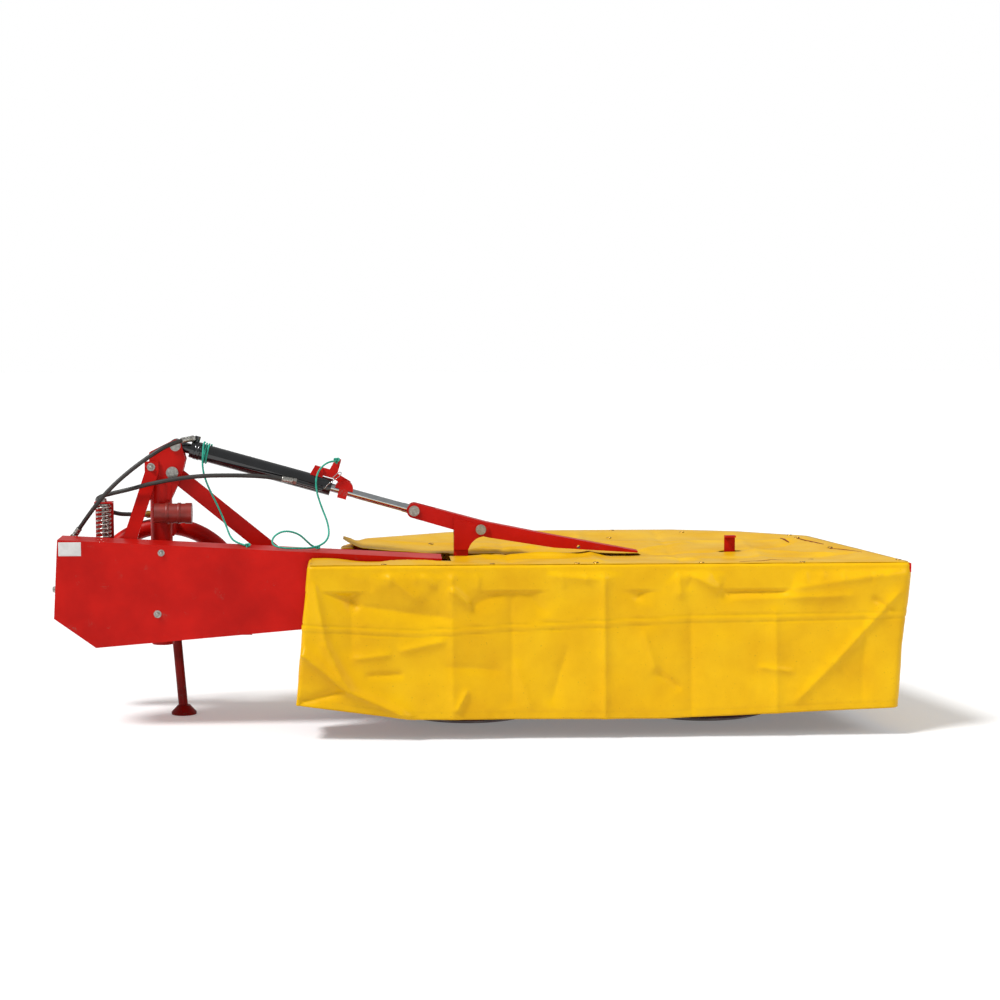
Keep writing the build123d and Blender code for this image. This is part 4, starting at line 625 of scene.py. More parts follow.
near_creases = [
    # x1, z1, x2, z2, height, reach: parcel folds first, upright and level
    (-0.082, 0.590, -0.078, 0.070, 0.0050, 0.030), (0.114, 0.580, 0.120, 0.130, -0.0040, 0.035),
    (0.424, 0.590, 0.430, 0.070, 0.0070, 0.022), (0.716, 0.420, 0.722, 0.080, -0.0045, 0.030),
    (1.000, 0.430, 1.009, 0.086, 0.0050, 0.028), (-0.420, 0.500, -0.412, 0.300, -0.0030, 0.030),
    (1.300, 0.400, 1.296, 0.110, -0.0030, 0.030),
    # drapes that start where the sheet is pinned
    (-0.545, 0.560, -0.400, 0.455, -0.0100, 0.030), (-0.400, 0.455, -0.085, 0.412, -0.0070, 0.040),
    (-0.540, 0.545, -0.500, 0.326, 0.0080, 0.018), (-0.500, 0.326, -0.428, 0.174, 0.0090, 0.022),
    (-0.300, 0.560, -0.190, 0.470, 0.0060, 0.035), (-0.180, 0.560, -0.140, 0.520, 0.0050, 0.015),
    (0.668, 0.578, 0.560, 0.535, -0.0080, 0.020), (0.560, 0.535, 0.535, 0.470, -0.0060, 0.030),
    (0.670, 0.575, 0.680, 0.480, 0.0060, 0.018), (0.700, 0.560, 0.820, 0.500, 0.0080, 0.025),
    (0.820, 0.500, 1.050, 0.505, -0.0100, 0.040), (1.050, 0.505, 1.420, 0.560, 0.0070, 0.035),
    (0.860, 0.470, 1.250, 0.480, 0.0060, 0.030),
    (-0.085, 0.510, -0.020, 0.455, 0.0090, 0.014), (-0.020, 0.455, 0.090, 0.500, -0.0050, 0.035),
    (0.130, 0.540, 0.230, 0.430, -0.0045, 0.040), (0.230, 0.560, 0.400, 0.540, 0.0050, 0.030),
    # the corner flap that is folded outwards, and slack near the hem
    (-0.595, 0.314, -0.428, 0.174, 0.0140, 0.026), (-0.428, 0.174, -0.226, 0.081, 0.0120, 0.024),
    (-0.428, 0.174, -0.600, 0.129, -0.0080, 0.020), (-0.360, 0.222, -0.250, 0.225, -0.0050, 0.012),
    (-0.407, 0.278, -0.290, 0.292, 0.0045, 0.014), (-0.250, 0.305, -0.110, 0.335, 0.0050, 0.016),
    (-0.066, 0.100, -0.032, 0.165, 0.0070, 0.010), (-0.100, 0.250, 0.080, 0.235, -0.0040, 0.035),
    (0.130, 0.260, 0.180, 0.110, 0.0040, 0.030), (0.250, 0.130, 0.300, 0.300, -0.0040, 0.030),
    (1.416, 0.490, 1.200, 0.254, 0.0075, 0.020), (1.200, 0.254, 1.076, 0.126, 0.0060, 0.024),
    (1.330, 0.470, 1.390, 0.430, -0.0050, 0.012), (0.560, 0.360, 0.600, 0.230, 0.0050, 0.020),
    (0.600, 0.230, 0.680, 0.170, -0.0050, 0.016), (0.950, 0.240, 1.060, 0.225, 0.0045, 0.014)]
# Short gathers along the rim, where the edge is folded over the rail.
rim_dice = np.random.default_rng(19)
for place in np.arange(-0.50, 1.44, 0.072):
    lean = rim_dice.uniform(-0.022, 0.022)
    near_creases.append((place + rim_dice.uniform(-0.02, 0.02), 0.590, place + lean, 0.590 - rim_dice.uniform(
        0.035, 0.085), rim_dice.choice([-1, 1]) * 0.0024, 0.011))
weld_lines = [(0.0, 0.382), (0.19, 0.364), (0.35, 0.381), (0.6, 0.402), (1.0, 0.417)]
weld_width = 24 * mm
print(len(near_creases), "creases on the near side")

# %% [markdown]
# The other sides follow the same parcel folds, 0.3 m apart, and hang in shallow waves. They are given by a
# loop with a fixed seed, so that each run draws the same cloth.

# %% Fold marks of the other sides
dice = np.random.default_rng(7)


def parcel_folds(start, end, top_z, low_z):
    """Fold marks every 0.3 m along a stretch, with a few slanting ones between them."""
    marks = []
    for index, place in enumerate(np.arange(start + 0.15, end, 0.30)):
        side = 1 if index % 2 else -1
        marks.append((place, top_z, place + dice.uniform(-0.01, 0.01), low_z, side * 0.006, 0.028))
        slant = dice.uniform(-0.12, 0.12)
        middle = dice.uniform(low_z + 0.15, top_z - 0.08)
        marks.append((place + 0.15, middle, place + 0.15 + slant, middle - 0.14, -side * 0.007, 0.022))
        marks.append((place + 0.05, top_z - 0.02, place + 0.12 + slant, top_z - 0.14, side * 0.006, 0.018))
    return marks


near_length = right_x - near_left_x
near_start = abs(near_y - slot_near_y)
near_end = near_start + near_length
side_creases = parcel_folds(-0.05, near_start, 0.58, 0.12)
side_creases += parcel_folds(near_end, plan_travelled[-1], 0.58, 0.10)
print(len(side_creases), "marks on the other sides")

# %% The skirt as one strip
def skirt_strip(name, start, end, step, rows, material):
    """Build a stretch of the skirt between two distances along its plan, as an open sheet without thickness."""
    count = round((end - start) / step)
    distances = np.linspace(start, end, count + 1)
    xs, ys = (np.interp(distances, plan_travelled, plan[:, axis]) for axis in (0, 1))
    ahead_x, ahead_y = np.gradient(xs, distances), np.gradient(ys, distances)
    size = np.hypot(ahead_x, ahead_y)
    outward = np.stack([ahead_y / size, -ahead_x / size], axis=1)
    near_share = np.clip((distances - near_start) / near_length, 0, 1)
    heights, weights = zip(*[(z, share) for share, z in hem_heights])
    near_hem = np.interp(near_share, weights, heights)
    right_length = math.hypot(right_far_corner[0] - right_x, right_far_corner[1] - near_y)
    past = np.clip((distances - near_end) / right_length, 0, 1)
    hem_z = near_hem + (far_hem_z - near_hem) * np.clip(past * 3, 0, 1)
    sway = hem_sway * (1 - past)
    lip = np.linspace(lip_depth, corner_roll, 6)[:-1]
    arc = np.linspace(0, math.pi / 2, 6)
    profile = [(inward, 0.0) for inward in lip]
    profile += [(corner_roll * (1 - math.sin(a)), corner_roll * (1 - math.cos(a))) for a in arc]
    skin_top = rail_top_z + 2.2 * mm
    points, downs = [], []
    face_top = skin_top - corner_roll
    for inward, drop in profile:
        points.append(np.stack([xs - outward[:, 0] * inward, ys - outward[:, 1] * inward,
                                np.full(len(xs), skin_top - drop)], axis=1))
        downs.append(np.zeros(len(xs)))
    for row in range(1, rows + 1):
        t = row / rows
        z = face_top + (hem_z - face_top) * t
        points.append(np.stack([xs - sway * t, ys, z], axis=1))
        downs.append(np.full(len(xs), t))
    places = np.concatenate(points)
    t_all = np.concatenate(downs)
    across = np.tile(distances, len(points))
    normals = np.tile(outward, (len(points), 1))
    on_near = (across > near_start) & (across < near_end)
    plane_x = np.where(on_near, near_left_x + across - near_start, across)
    drawn = np.stack([plane_x - np.tile(sway, len(points)) * t_all * on_near, places[:, 2]], axis=1)
    push = 2.1 * np.where(on_near, fold_heights(drawn, near_creases), fold_heights(
        np.stack([across, places[:, 2]], axis=1), side_creases))
    push += 0.0050 * waves(places, 0.24, 3) + 0.0022 * waves(places, 0.075, 5) + 0.0006 * waves(places, 0.03, 9)
    weld_share = np.tile(near_share, len(points))
    weld_z = np.interp(weld_share, *zip(*weld_lines)) if on_near.any() else 0.39
    from_weld = np.abs(places[:, 2] - weld_z) - weld_width / 2
    push += 0.0012 * (from_weld < 0) - 0.0022 * np.exp(-(from_weld / (2.6 * mm)) ** 2)
    below = np.clip(t_all * 14, 0, 1)
    ease = below * below * (3 - 2 * below)
    hem_stitch = np.exp(-((t_all - 0.955) / 0.006) ** 2)
    push = push * ease + 0.0025 * ease - 0.0012 * hem_stitch
    by_rail = np.interp(places[:, 2], [0.460, 0.502], [-0.05, 0.0012])
    push = np.clip(np.maximum(push, by_rail), -0.05, most_outward)
    places[:, :2] += normals * push[:, None]
    places[:, 2] += 0.0006 * waves(places, 0.05, 11) * (t_all == 0)
    # Darker along both edges of the weld seam and along the hem stitch, where the cloth is pressed in, and over the
    # lowest strip of the skirt.
    darkening = np.clip(np.exp(-(from_weld / (3.0 * mm)) ** 2) * 0.32 + np.clip((t_all - 0.93) * 9, 0, 1) * 0.25
                   + hem_stitch * 0.15, 0, 1)
    faces = []
    width = len(xs)
    for row in range(len(points) - 1):
        for column in range(width - 1):
            a = row * width + column
            faces.append((a, a + width, a + width + 1, a + 1))
    uvs = np.stack([across, t_all * 0.5], axis=1)
    sheet = piece_from(name, places, faces, material, uvs=uvs)
    layer = sheet.data.attributes.new("darkening", "FLOAT", "POINT")
    layer.data.foreach_set("value", darkening.astype(np.float32))
    return sheet


# %% [markdown]
# The coating is glossy and a little wavy, and the sun has bleached it in patches. Two yellows drift into each
# other. The cloth is darker along the edges of the weld seam, along the hem stitch, towards the hem, and on the top
# sheet at its cut edges and round the arm, and small dark specks are scattered over it. The cloth's own weave shows
# through the coating as a fine mesh. Its real 1 mm threads can't show in the picture, so it is drawn as 4 mm, and
# so weak that only the highlight is broken by it.

# %% Coated cloth
def coated_cloth(name, colours, rough):
    """Yellow PVC on polyester cloth."""
    material = surface(name, colours, rough, drift_mm=160, grain_mm=35.0, bump=0.35, bump_mm=2.0, ior=1.32)
    tree = material.node_tree
    shader = tree.nodes["Principled BSDF"]
    shader.inputs["Specular IOR Level"].default_value = 0.35
    place = add_node(tree, "ShaderNodeTexCoord").outputs["Object"]
    # The cloth turns brown where a mask on the mesh says, broken up by noise, and in small specks.
    darkening = add_node(tree, "ShaderNodeAttribute", {"attribute_name": "darkening"})
    darkening_breakup = add_node(tree, "ShaderNodeTexNoise", inputs={"Vector": place, "Scale": 45.0, "Detail": 6.0})
    broken_darkening = add_node(tree, "ShaderNodeMath", {"operation": "MULTIPLY"}, {
        0: darkening.outputs["Fac"], 1: darkening_breakup.outputs["Fac"]})
    specks = add_node(tree, "ShaderNodeTexNoise", inputs={"Vector": place, "Scale": 160.0, "Detail": 2.0})
    speck_edge = add_node(tree, "ShaderNodeMapRange", inputs={
        "Value": specks.outputs["Fac"], "From Min": 0.70, "From Max": 0.74, "To Max": 0.35})
    darkening_and_specks = add_node(tree, "ShaderNodeMath", {"operation": "MAXIMUM"}, {
        0: broken_darkening.outputs[0], 1: speck_edge.outputs["Result"]})
    clean = shader.inputs["Base Color"].links[0].from_socket
    mixed = add_node(tree, "ShaderNodeMix", {"data_type": "RGBA"}, {
        0: darkening_and_specks.outputs[0], 6: clean, 7: linear("#7A5A12")})
    tree.links.new(mixed.outputs[2], shader.inputs["Base Color"])
    first_bump = next(n for n in tree.nodes if n.bl_idname == "ShaderNodeBump")
    threads = add_node(tree, "ShaderNodeTexWave", {"bands_direction": "Z"}, {"Vector": place, "Scale": 80.0})
    cross_threads = add_node(tree, "ShaderNodeTexWave", {"bands_direction": "X"}, {"Vector": place, "Scale": 80.0})
    mesh_height = add_node(tree, "ShaderNodeMath", {"operation": "ADD"}, {
        0: threads.outputs["Fac"], 1: cross_threads.outputs["Fac"]})
    weave = add_node(tree, "ShaderNodeBump", inputs={
        "Height": mesh_height.outputs[0], "Strength": 0.06, "Distance": 0.3 * mm,
        "Normal": first_bump.outputs["Normal"]})
    tree.links.new(weave.outputs["Normal"], shader.inputs["Normal"])
    return material


yellow_cloth = coated_cloth("pvc_coated_polyester_yellow", ("#E8B606", "#DBA504"), (0.30, 0.44))


def thicken(sheet, wall):
    """Give a sheet its wall, on its inner side."""
    solid = sheet.modifiers.new("wall", "SOLIDIFY")
    solid.thickness = wall
    solid.offset = -1
    bpy.context.view_layer.update()
    evaluated = sheet.evaluated_get(bpy.context.evaluated_depsgraph_get())
    thick = bpy.data.meshes.new_from_object(evaluated)
    sheet.modifiers.clear()
    sheet.data = thick
    return sheet


strip_end = near_end + math.hypot(right_far_corner[0] - right_x, right_far_corner[1] - near_y)
skirt_near = skirt_strip("curtain_skirt_near", 0.0, strip_end, 6.2 * mm, 82, yellow_cloth)
skirt_far = skirt_strip("curtain_skirt_far", strip_end, plan_travelled[-1], 9 * mm, 56, yellow_cloth)
for sheet in (skirt_near, skirt_far):
    thicken(sheet, cloth_half * 2)
    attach(sheet, "deck")
    print(sheet.name, len(sheet.data.polygons), "faces")
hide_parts("curtain_near", "curtain_left", "curtain_right")
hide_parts("curtain_far")

# %% [markdown]
# The top sheet lies over the lip of the skirt, laced to it through eyelets, and hangs slack round the lift
# arm. It is cut out for the belt drive, the post and the hook. A triangulation of the outline with its
# openings follows the cuts exactly, which a bent grid could not. Its heights come from how far a place is
# from the rim and from the arm.

# %% Outline and openings of the top sheet
from mathutils.geometry import delaunay_2d_cdt

cover_z = rail_top_z + 4.6 * mm
inset = 9 * mm
plan_ahead = np.gradient(plan, axis=0)
plan_ahead /= np.linalg.norm(plan_ahead, axis=1)[:, None]
rim_line = plan - np.stack([plan_ahead[:, 1], -plan_ahead[:, 0]], axis=1) * inset
slot_far_y, slot_right_x = -0.010, -0.071
cover_outline = list(map(tuple, rim_line)) + [
    (slot_right_x, slot_far_y), (slot_right_x, slot_near_y + 0.006), (near_left_x + inset, slot_near_y + 0.006)]
arm_opening = [(-0.101, -0.097), (0.560, -0.097), (0.600, -0.086), (0.607, -0.060), (0.600, -0.034),
               (0.560, -0.023), (-0.101, -0.023)]
hook_opening = [(0.884, -0.088), (0.960, -0.088), (0.960, -0.048), (0.884, -0.048)]


def inside(points, corners):
    """Which of many points lie inside a closed line."""
    corners = np.array(corners)
    result = np.zeros(len(points), bool)
    for (x1, y1), (x2, y2) in zip(corners, np.roll(corners, -1, axis=0)):
        if y1 == y2:
            continue
        crosses = (points[:, 1] > min(y1, y2)) & (points[:, 1] <= max(y1, y2))
        at_x = x1 + (points[:, 1] - y1) * (x2 - x1) / (y2 - y1)
        result ^= crosses & (points[:, 0] < at_x)
    return result


def from_line(points, corners, closed=True):
    """Distance of many points from a line of corners."""
    nearest = np.full(len(points), np.inf)
    corners = np.array(corners)
    ends = np.roll(corners, -1, axis=0) if closed else corners[1:]
    for start, end in zip(corners, ends):
        run = end - start
        if not run.any():
            continue
        share = np.clip((points - start) @ run / (run @ run), 0, 1)
        nearest = np.minimum(nearest, np.linalg.norm(points - start - share[:, None] * run, axis=1))
    return nearest


def with_steps(corners, step):
    """A closed line with more points on it."""
    line = []
    corners = [np.array(c) for c in corners]
    for start, end in zip(corners, corners[1:] + corners[:1]):
        count = max(1, round(np.linalg.norm(end - start) / step))
        line += [tuple(start + (end - start) * i / count) for i in range(count)]
    return line


grid_step = 11 * mm
grid = np.array([(x + 0.25 * grid_step * math.sin(37 * y), y) for x in np.arange(-0.56, 1.48, grid_step)
                 for y in np.arange(-0.53, 0.53, grid_step)])
keep = inside(grid, cover_outline) & (from_line(grid, cover_outline) > grid_step * 0.6)
for opening in (arm_opening, hook_opening):
    keep &= ~inside(grid, opening) & (from_line(grid, opening) > grid_step * 0.5)
flat_points, border_edges = [], []
for line in (cover_outline, arm_opening, hook_opening):
    dense = with_steps(line, grid_step * 0.8)
    first = len(flat_points)
    flat_points += dense
    border_edges += [(first + i, first + (i + 1) % len(dense)) for i in range(len(dense))]
flat_points += [tuple(p) for p in grid[keep]]
found, _, triangles, *_ = delaunay_2d_cdt([Vector(p) for p in flat_points], border_edges, [], 0, 1e-6)
found = np.array([tuple(p) for p in found])
centres = np.array([found[list(t)].mean(axis=0) for t in triangles])
used = inside(centres, cover_outline) & ~inside(centres, arm_opening) & ~inside(centres, hook_opening)
cover_faces = [tuple(t) for t, good in zip(triangles, used) if good]
print("top sheet:", len(found), "points,", len(cover_faces), "triangles")

# %% [markdown]
# The sheet is taut at the rim and slack inside. Folds run from the post to the corners where the sheet is
# pinned, the parcel folds cross it, and the far left end has come loose and curls up. Slits for the stowing
# straps cross it. Each is a shallow groove here, and the red strap that shows in it comes with the eyelets.

# %% Shape of the top sheet
cover_folds = [
    (0.060, -0.120, 0.330, -0.135, 0.0060, 0.012), (0.060, -0.200, 0.300, -0.185, -0.0060, 0.016),
    (0.020, 0.060, 0.260, 0.090, 0.0060, 0.014), (-0.001, 0.030, 0.184, 0.020, 0.0070, 0.022),
    (-0.008, -0.162, 0.458, -0.110, 0.0080, 0.026),
    (0.585, -0.222, 0.781, -0.319, 0.0060, 0.024), (0.100, -0.300, 0.420, -0.460, 0.0050, 0.035),
    (0.424, -0.520, 0.424, 0.520, 0.0050, 0.026), (0.714, -0.520, 0.714, 0.500, -0.0040, 0.026),
    (1.004, -0.520, 1.004, 0.450, 0.0040, 0.026), (0.124, -0.520, 0.124, 0.500, -0.0040, 0.026),
    (-0.060, -0.240, 1.400, -0.235, -0.0040, 0.030), (-0.400, 0.200, 1.250, 0.210, 0.0040, 0.030),
    (0.640, -0.050, 0.880, -0.060, -0.0060, 0.035), (0.620, 0.020, 0.800, 0.160, 0.0060, 0.028),
    (0.300, 0.050, 0.420, 0.260, 0.0060, 0.030), (-0.300, -0.350, -0.080, -0.480, 0.0050, 0.030),
    (0.980, -0.090, 1.260, -0.200, 0.0050, 0.026), (0.960, -0.030, 1.180, 0.120, -0.0050, 0.030)]
slits = [((0.888, -0.491), (1.139, -0.394)), ((1.211, 0.206), (1.273, 0.012)), ((1.270, -0.080), (1.358, -0.233)),
         ((1.155, 0.242), (1.171, 0.144))]
from_rim = from_line(found, np.array(rim_line), closed=False)
from_arm = from_line(found, arm_opening)
slack = np.clip((from_rim - 0.040) / 0.16, 0, 1)
slack = slack * slack * (3 - 2 * slack)
near_arm = np.exp(-(from_arm / 0.11) ** 2)
heights = cover_z - 0.0125 * slack - 0.0105 * near_arm * slack
heights += 1.7 * fold_heights(found, cover_folds) * np.clip((from_rim - 0.02) / 0.06, 0, 1)
flat3 = np.column_stack([found, np.zeros(len(found))])
heights += (0.0035 * waves(flat3, 0.18, 21) + 0.0016 * waves(flat3, 0.07, 23)) * np.clip(from_rim / 0.09, 0.1, 1)
lowest = np.interp(from_rim, [0.045, 0.060], [cover_z - 0.6 * mm, 0.5605])
heights = np.maximum(heights, lowest)
curl = np.clip((-0.372 - found[:, 0]) / 0.070, 0, 1) * (found[:, 1] > -0.020) * (found[:, 1] < 0.30)
curl *= np.clip((0.26 - found[:, 1]) / 0.12, 0, 1)
heights += 0.032 * curl ** 1.5
from_slit = np.min([from_line(found, slit, closed=False) for slit in slits], axis=0)
heights -= 0.004 * np.exp(-(from_slit / 0.007) ** 2) * np.clip((from_rim - 0.045) / 0.02, 0, 1)
cover = piece_from("curtain_cover", np.column_stack([found, heights]), cover_faces, yellow_cloth,
                   uvs=found)
layer = cover.data.attributes.new("darkening", "FLOAT", "POINT")
# The top sheet is darker along its cut edges and round the arm's opening.
edge_darkening = 0.5 * np.exp(-(from_line(found, cover_outline) / 0.006) ** 2) + 0.35 * np.exp(-(from_arm / 0.02) ** 2)
layer.data.foreach_set("value", np.clip(edge_darkening, 0, 1).astype(np.float32))
thicken(cover, cloth_half * 2)
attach(cover, "deck")
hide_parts("curtain_top")
print("top sheet between", round(heights.min(), 4), "and", round(heights.max(), 4), "m")

# %% [markdown]
# Each hose ends in a crimped sleeve, a hexagonal swivel nut and a short stem. All of them are turned parts on
# the hose's own line, so the same tube function makes them: the stations give the radius along the line, and
# a six-sided section makes the nut. They belong to the body that the end is screwed to.

# %% Hose ends
def hexagon(angle, distance):
    """Share of the radius at an angle of a hexagon."""
    return math.cos(math.pi / 6) / math.cos((angle + math.pi / 6) % (math.pi / 3) - math.pi / 6)


def hose_end(name, line, from_start, body):
    """Crimp and nut on one end of a hose. Distances count from the hose's end into the hose."""
    def along(distance):
        return distance if from_start else line.length - distance

    crimp = [(0.000, 9.2), (0.002, 10.2), (0.010, 10.2), (0.011, 9.3), (0.013, 9.3), (0.014, 10.2), (0.022, 10.2),
             (0.023, 9.3), (0.025, 9.3), (0.026, 10.2), (0.036, 10.2), (0.038, 9.4), (0.0385, 7.6)]
    nut = [(-0.001, 9.8), (-0.002, 11.4), (-0.013, 11.4), (-0.014, 10.0), (-0.0145, 7.0)]
    stem = [(-0.0145, 7.2), (-0.020, 7.2)]
    parts = []
    for stations, shape, sides in ((crimp, None, 28), (nut, hexagon, 24), (stem, None, 20)):
        placed = sorted((along(distance), radius * mm) for distance, radius in stations)
        parts.append(tube(line, placed, sides, shape))
    points, faces, uvs = joined(parts)
    return piece_from(name, points, faces, zinc, body=body, uvs=uvs, smooth=False)


end_pieces = {
    "base_hose": [hose_end("base_hose_frame_end", hoses["base_hose"][1], True, "frame"),
                  hose_end("base_hose_cylinder_end", hoses["base_hose"][1], False, "cylinder")],
    "rod_hose": [hose_end("rod_hose_cylinder_end", hoses["rod_hose"][1], True, "cylinder"),
                 hose_end("rod_hose_frame_end", hoses["rod_hose"][1], False, "frame")]}
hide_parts("hose_base")
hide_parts("hose_rod")
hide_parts("latch_rope")
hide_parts("mast_rope")
print("hose ends:", sum(len(pieces) for pieces in end_pieces.values()))

# %% [markdown]
# The ropes are tied, not glued. An overhand knot that is pulled tight is close to the curve that
# mathematicians call a trefoil, so that curve, as thick rope, makes a knot with its crossings right. Round
# the cylinder the rope takes two turns, a short helix just above the barrel.

# %% Knots and the turns round the cylinder
def knot(name, centre, size, body):
    """A tight overhand knot of rope."""
    turns = np.linspace(0, 2 * math.pi, 90)
    loop = np.stack([np.sin(turns) + 2 * np.sin(2 * turns), np.cos(turns) - 2 * np.cos(2 * turns),
                     -1.6 * np.sin(3 * turns)], axis=1) * size / 3
    line = Line(loop[:, [0, 2, 1]] + np.array(centre))
    stations = even_stations(0.0, line.length, 1.6 * mm, rope_diameter * 0.46)
    points, faces, uvs = tube(line, stations, 14, three_strands)
    return piece_from(name, points, faces, rope_fibre, body=body, uvs=uvs)


cylinder_start = np.array([-1.019, -0.060, 0.959])
cylinder_tilt = math.radians(15.69)
cylinder_ahead = np.array([math.cos(cylinder_tilt), 0.0, -math.sin(cylinder_tilt)])
cylinder_up = np.array([math.sin(cylinder_tilt), 0.0, math.cos(cylinder_tilt)])


def on_cylinder(along, turn, radius):
    """A place round the cylinder's axis."""
    return (cylinder_start + cylinder_ahead * along + cylinder_up * radius * math.cos(turn)
            + np.array([0.0, -1.0, 0.0]) * radius * math.sin(turn))


wrap_line = Line([on_cylinder(0.102 + 0.0085 * turn / (2 * math.pi), turn, 0.0337)
                  for turn in np.linspace(0, 4 * math.pi, 160)])
points, faces, uvs = tube(wrap_line, even_stations(0, wrap_line.length, 1.8 * mm, rope_diameter * 0.48), 14,
                          three_strands)
rope_turns = piece_from("mast_rope_turns", points, faces, rope_fibre, body="cylinder", uvs=uvs)
latch_knot = knot("latch_rope_knot", latch_rope_route[0], 9.5 * mm, "cylinder")
guard_knot = knot("latch_rope_end_knot", latch_rope_route[-1], 8.0 * mm, "frame")
mast_rope_knot = knot("mast_rope_end_knot", (-0.764, -0.238, 0.6262), 8.0 * mm, "frame")
print("rope turns", round(wrap_line.length, 3), "m")

# %% [markdown]
# Small turned and bent parts: two clamp bands round the document tube, a band on the cylinder's gland, and
# the spring pin that holds the latch. A band is a short tube on a straight line, and the pin a thin tube on a
# bent one.

# %% Bands and the spring pin
tube_low, tube_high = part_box("document_tube")
tube_middle = (tube_low + tube_high) / 2
band_shares = (0.34, 0.66)
band_parts = []
for share in band_shares:
    x = tube_low.x + (tube_high.x - tube_low.x) * share
    radius = (tube_high.z - tube_low.z) / 2
    band = Line([(x - 0.006, tube_middle.y, tube_middle.z), (x + 0.006, tube_middle.y, tube_middle.z)])
    stations = [(0.0, radius - 0.4 * mm), (0.0005, radius + 0.7 * mm), (0.0115, radius + 0.7 * mm),
                (0.012, radius - 0.4 * mm)]
    band_parts.append(tube(band, stations, 40))
points, faces, uvs = joined(band_parts)
piece_from("document_tube_bands", points, faces, tube_plastic, body="frame",
           uvs=uvs)

gland_line = Line([on_cylinder(0.066, 0, 0), on_cylinder(0.088, 0, 0)])
stations = [(0.0, 30.2 * mm), (0.001, 32.0 * mm), (0.009, 32.0 * mm), (0.010, 31.0 * mm), (0.012, 31.0 * mm),
            (0.013, 32.0 * mm), (0.021, 32.0 * mm), (0.022, 30.2 * mm)]
points, faces, uvs = tube(gland_line, stations, 48)
piece_from("cylinder_gland_band", points, faces, black_gloss, body="cylinder",
           uvs=uvs)

pin_line = Line(spline_line([(-0.506, -0.093, 0.806), (-0.494, -0.094, 0.822), (-0.470, -0.094, 0.838),
                             (-0.450, -0.094, 0.852), (-0.444, -0.094, 0.862), (-0.452, -0.094, 0.866),
                             (-0.462, -0.094, 0.858), (-0.478, -0.094, 0.844)]))
points, faces, uvs = tube(pin_line, even_stations(0, pin_line.length, 2 * mm, 1.6 * mm), 12)
piece_from("latch_spring_pin", points, faces, chrome, body="cylinder", uvs=uvs)
print("bands on the document tube at shares", band_shares)
# %% [markdown]
# Bolts, eyelets and weld beads all repeat, so one Geometry Nodes tree sets them: it takes points that carry a
# direction and a size, puts a shape on each, turns it about its own axis by a seeded angle, and hands back
# one mesh. The shape comes in as an object, so the same tree makes a hexagon head here and a brass ring
# there.

# %% A tree that sets one shape on many points
def placing_tree():
    """Geometry Nodes tree with the inputs Shape, Seed, Turn and Finish."""
    tree = bpy.data.node_groups.new("set_on_points", "GeometryNodeTree")
    face = tree.interface
    face.new_socket("Points", in_out="INPUT", socket_type="NodeSocketGeometry")
    for label, kind in (("Shape", "NodeSocketObject"), ("Seed", "NodeSocketInt"), ("Turn", "NodeSocketFloat"),
                        ("Finish", "NodeSocketMaterial")):
        face.new_socket(label, in_out="INPUT", socket_type=kind)
    face.new_socket("Mesh", in_out="OUTPUT", socket_type="NodeSocketGeometry")
    given = tree.nodes.new("NodeGroupInput")
    shape = add_node(tree, "GeometryNodeObjectInfo", {"transform_space": "ORIGINAL"}, {
        "Object": given.outputs["Shape"]})
    facing = add_node(tree, "GeometryNodeInputNamedAttribute", {"data_type": "FLOAT_VECTOR"}, {"Name": "facing"})
    size = add_node(tree, "GeometryNodeInputNamedAttribute", {"data_type": "FLOAT"}, {"Name": "size"})
    lined_up = add_node(tree, "FunctionNodeAlignRotationToVector", {"axis": "Z"}, {
        "Vector": facing.outputs["Attribute"]})
    spin = add_node(tree, "FunctionNodeRandomValue", {"data_type": "FLOAT"}, {
        "Max": given.outputs["Turn"], "Seed": given.outputs["Seed"]})
    spin_about = add_node(tree, "ShaderNodeCombineXYZ", inputs={"Z": spin.outputs["Value"]})
    turned = add_node(tree, "FunctionNodeRotateRotation", {"rotation_space": "LOCAL"}, {
        "Rotation": lined_up.outputs["Rotation"], "Rotate By": spin_about.outputs["Vector"]})
    placed = add_node(tree, "GeometryNodeInstanceOnPoints", inputs={
        "Points": given.outputs["Points"], "Instance": shape.outputs["Geometry"],
        "Rotation": turned.outputs["Rotation"], "Scale": size.outputs["Attribute"]})
    real = add_node(tree, "GeometryNodeRealizeInstances", inputs={"Geometry": placed.outputs["Instances"]})
    finished = add_node(tree, "GeometryNodeSetMaterial", inputs={
        "Geometry": real.outputs["Geometry"], "Material": given.outputs["Finish"]})
    taken = tree.nodes.new("NodeGroupOutput")
    tree.links.new(finished.outputs["Geometry"], taken.inputs["Mesh"])
    return tree


set_on_points = placing_tree()
print("inputs:", [item.name for item in set_on_points.interface.items_tree if item.in_out == "INPUT"])

# %% Turned shapes to set
def turned_shape(name, rings, sides=24):
    """A closed turned mesh about Z, from (height, radius, corners). Six corners make a hexagon, none a circle."""
    points, faces = [], []
    for height, radius, corners in rings:
        for index in range(sides):
            angle = 2 * math.pi * index / sides
            share = hexagon(angle, 0) * 2 / math.sqrt(3) if corners == 6 else 1.0
            points.append((radius * share * math.cos(angle), radius * share * math.sin(angle), height))
    for ring in range(len(rings) - 1):
        for index in range(sides):
            after = (index + 1) % sides
            a, b = ring * sides, (ring + 1) * sides
            faces.append((a + index, a + after, b + after, b + index))
    faces.append(tuple(range(sides - 1, -1, -1)))
    faces.append(tuple((len(rings) - 1) * sides + index for index in range(sides)))
    mesh = bpy.data.meshes.new(name)
    mesh.from_pydata(points, [], faces)
    return bpy.data.objects.new(name, mesh)


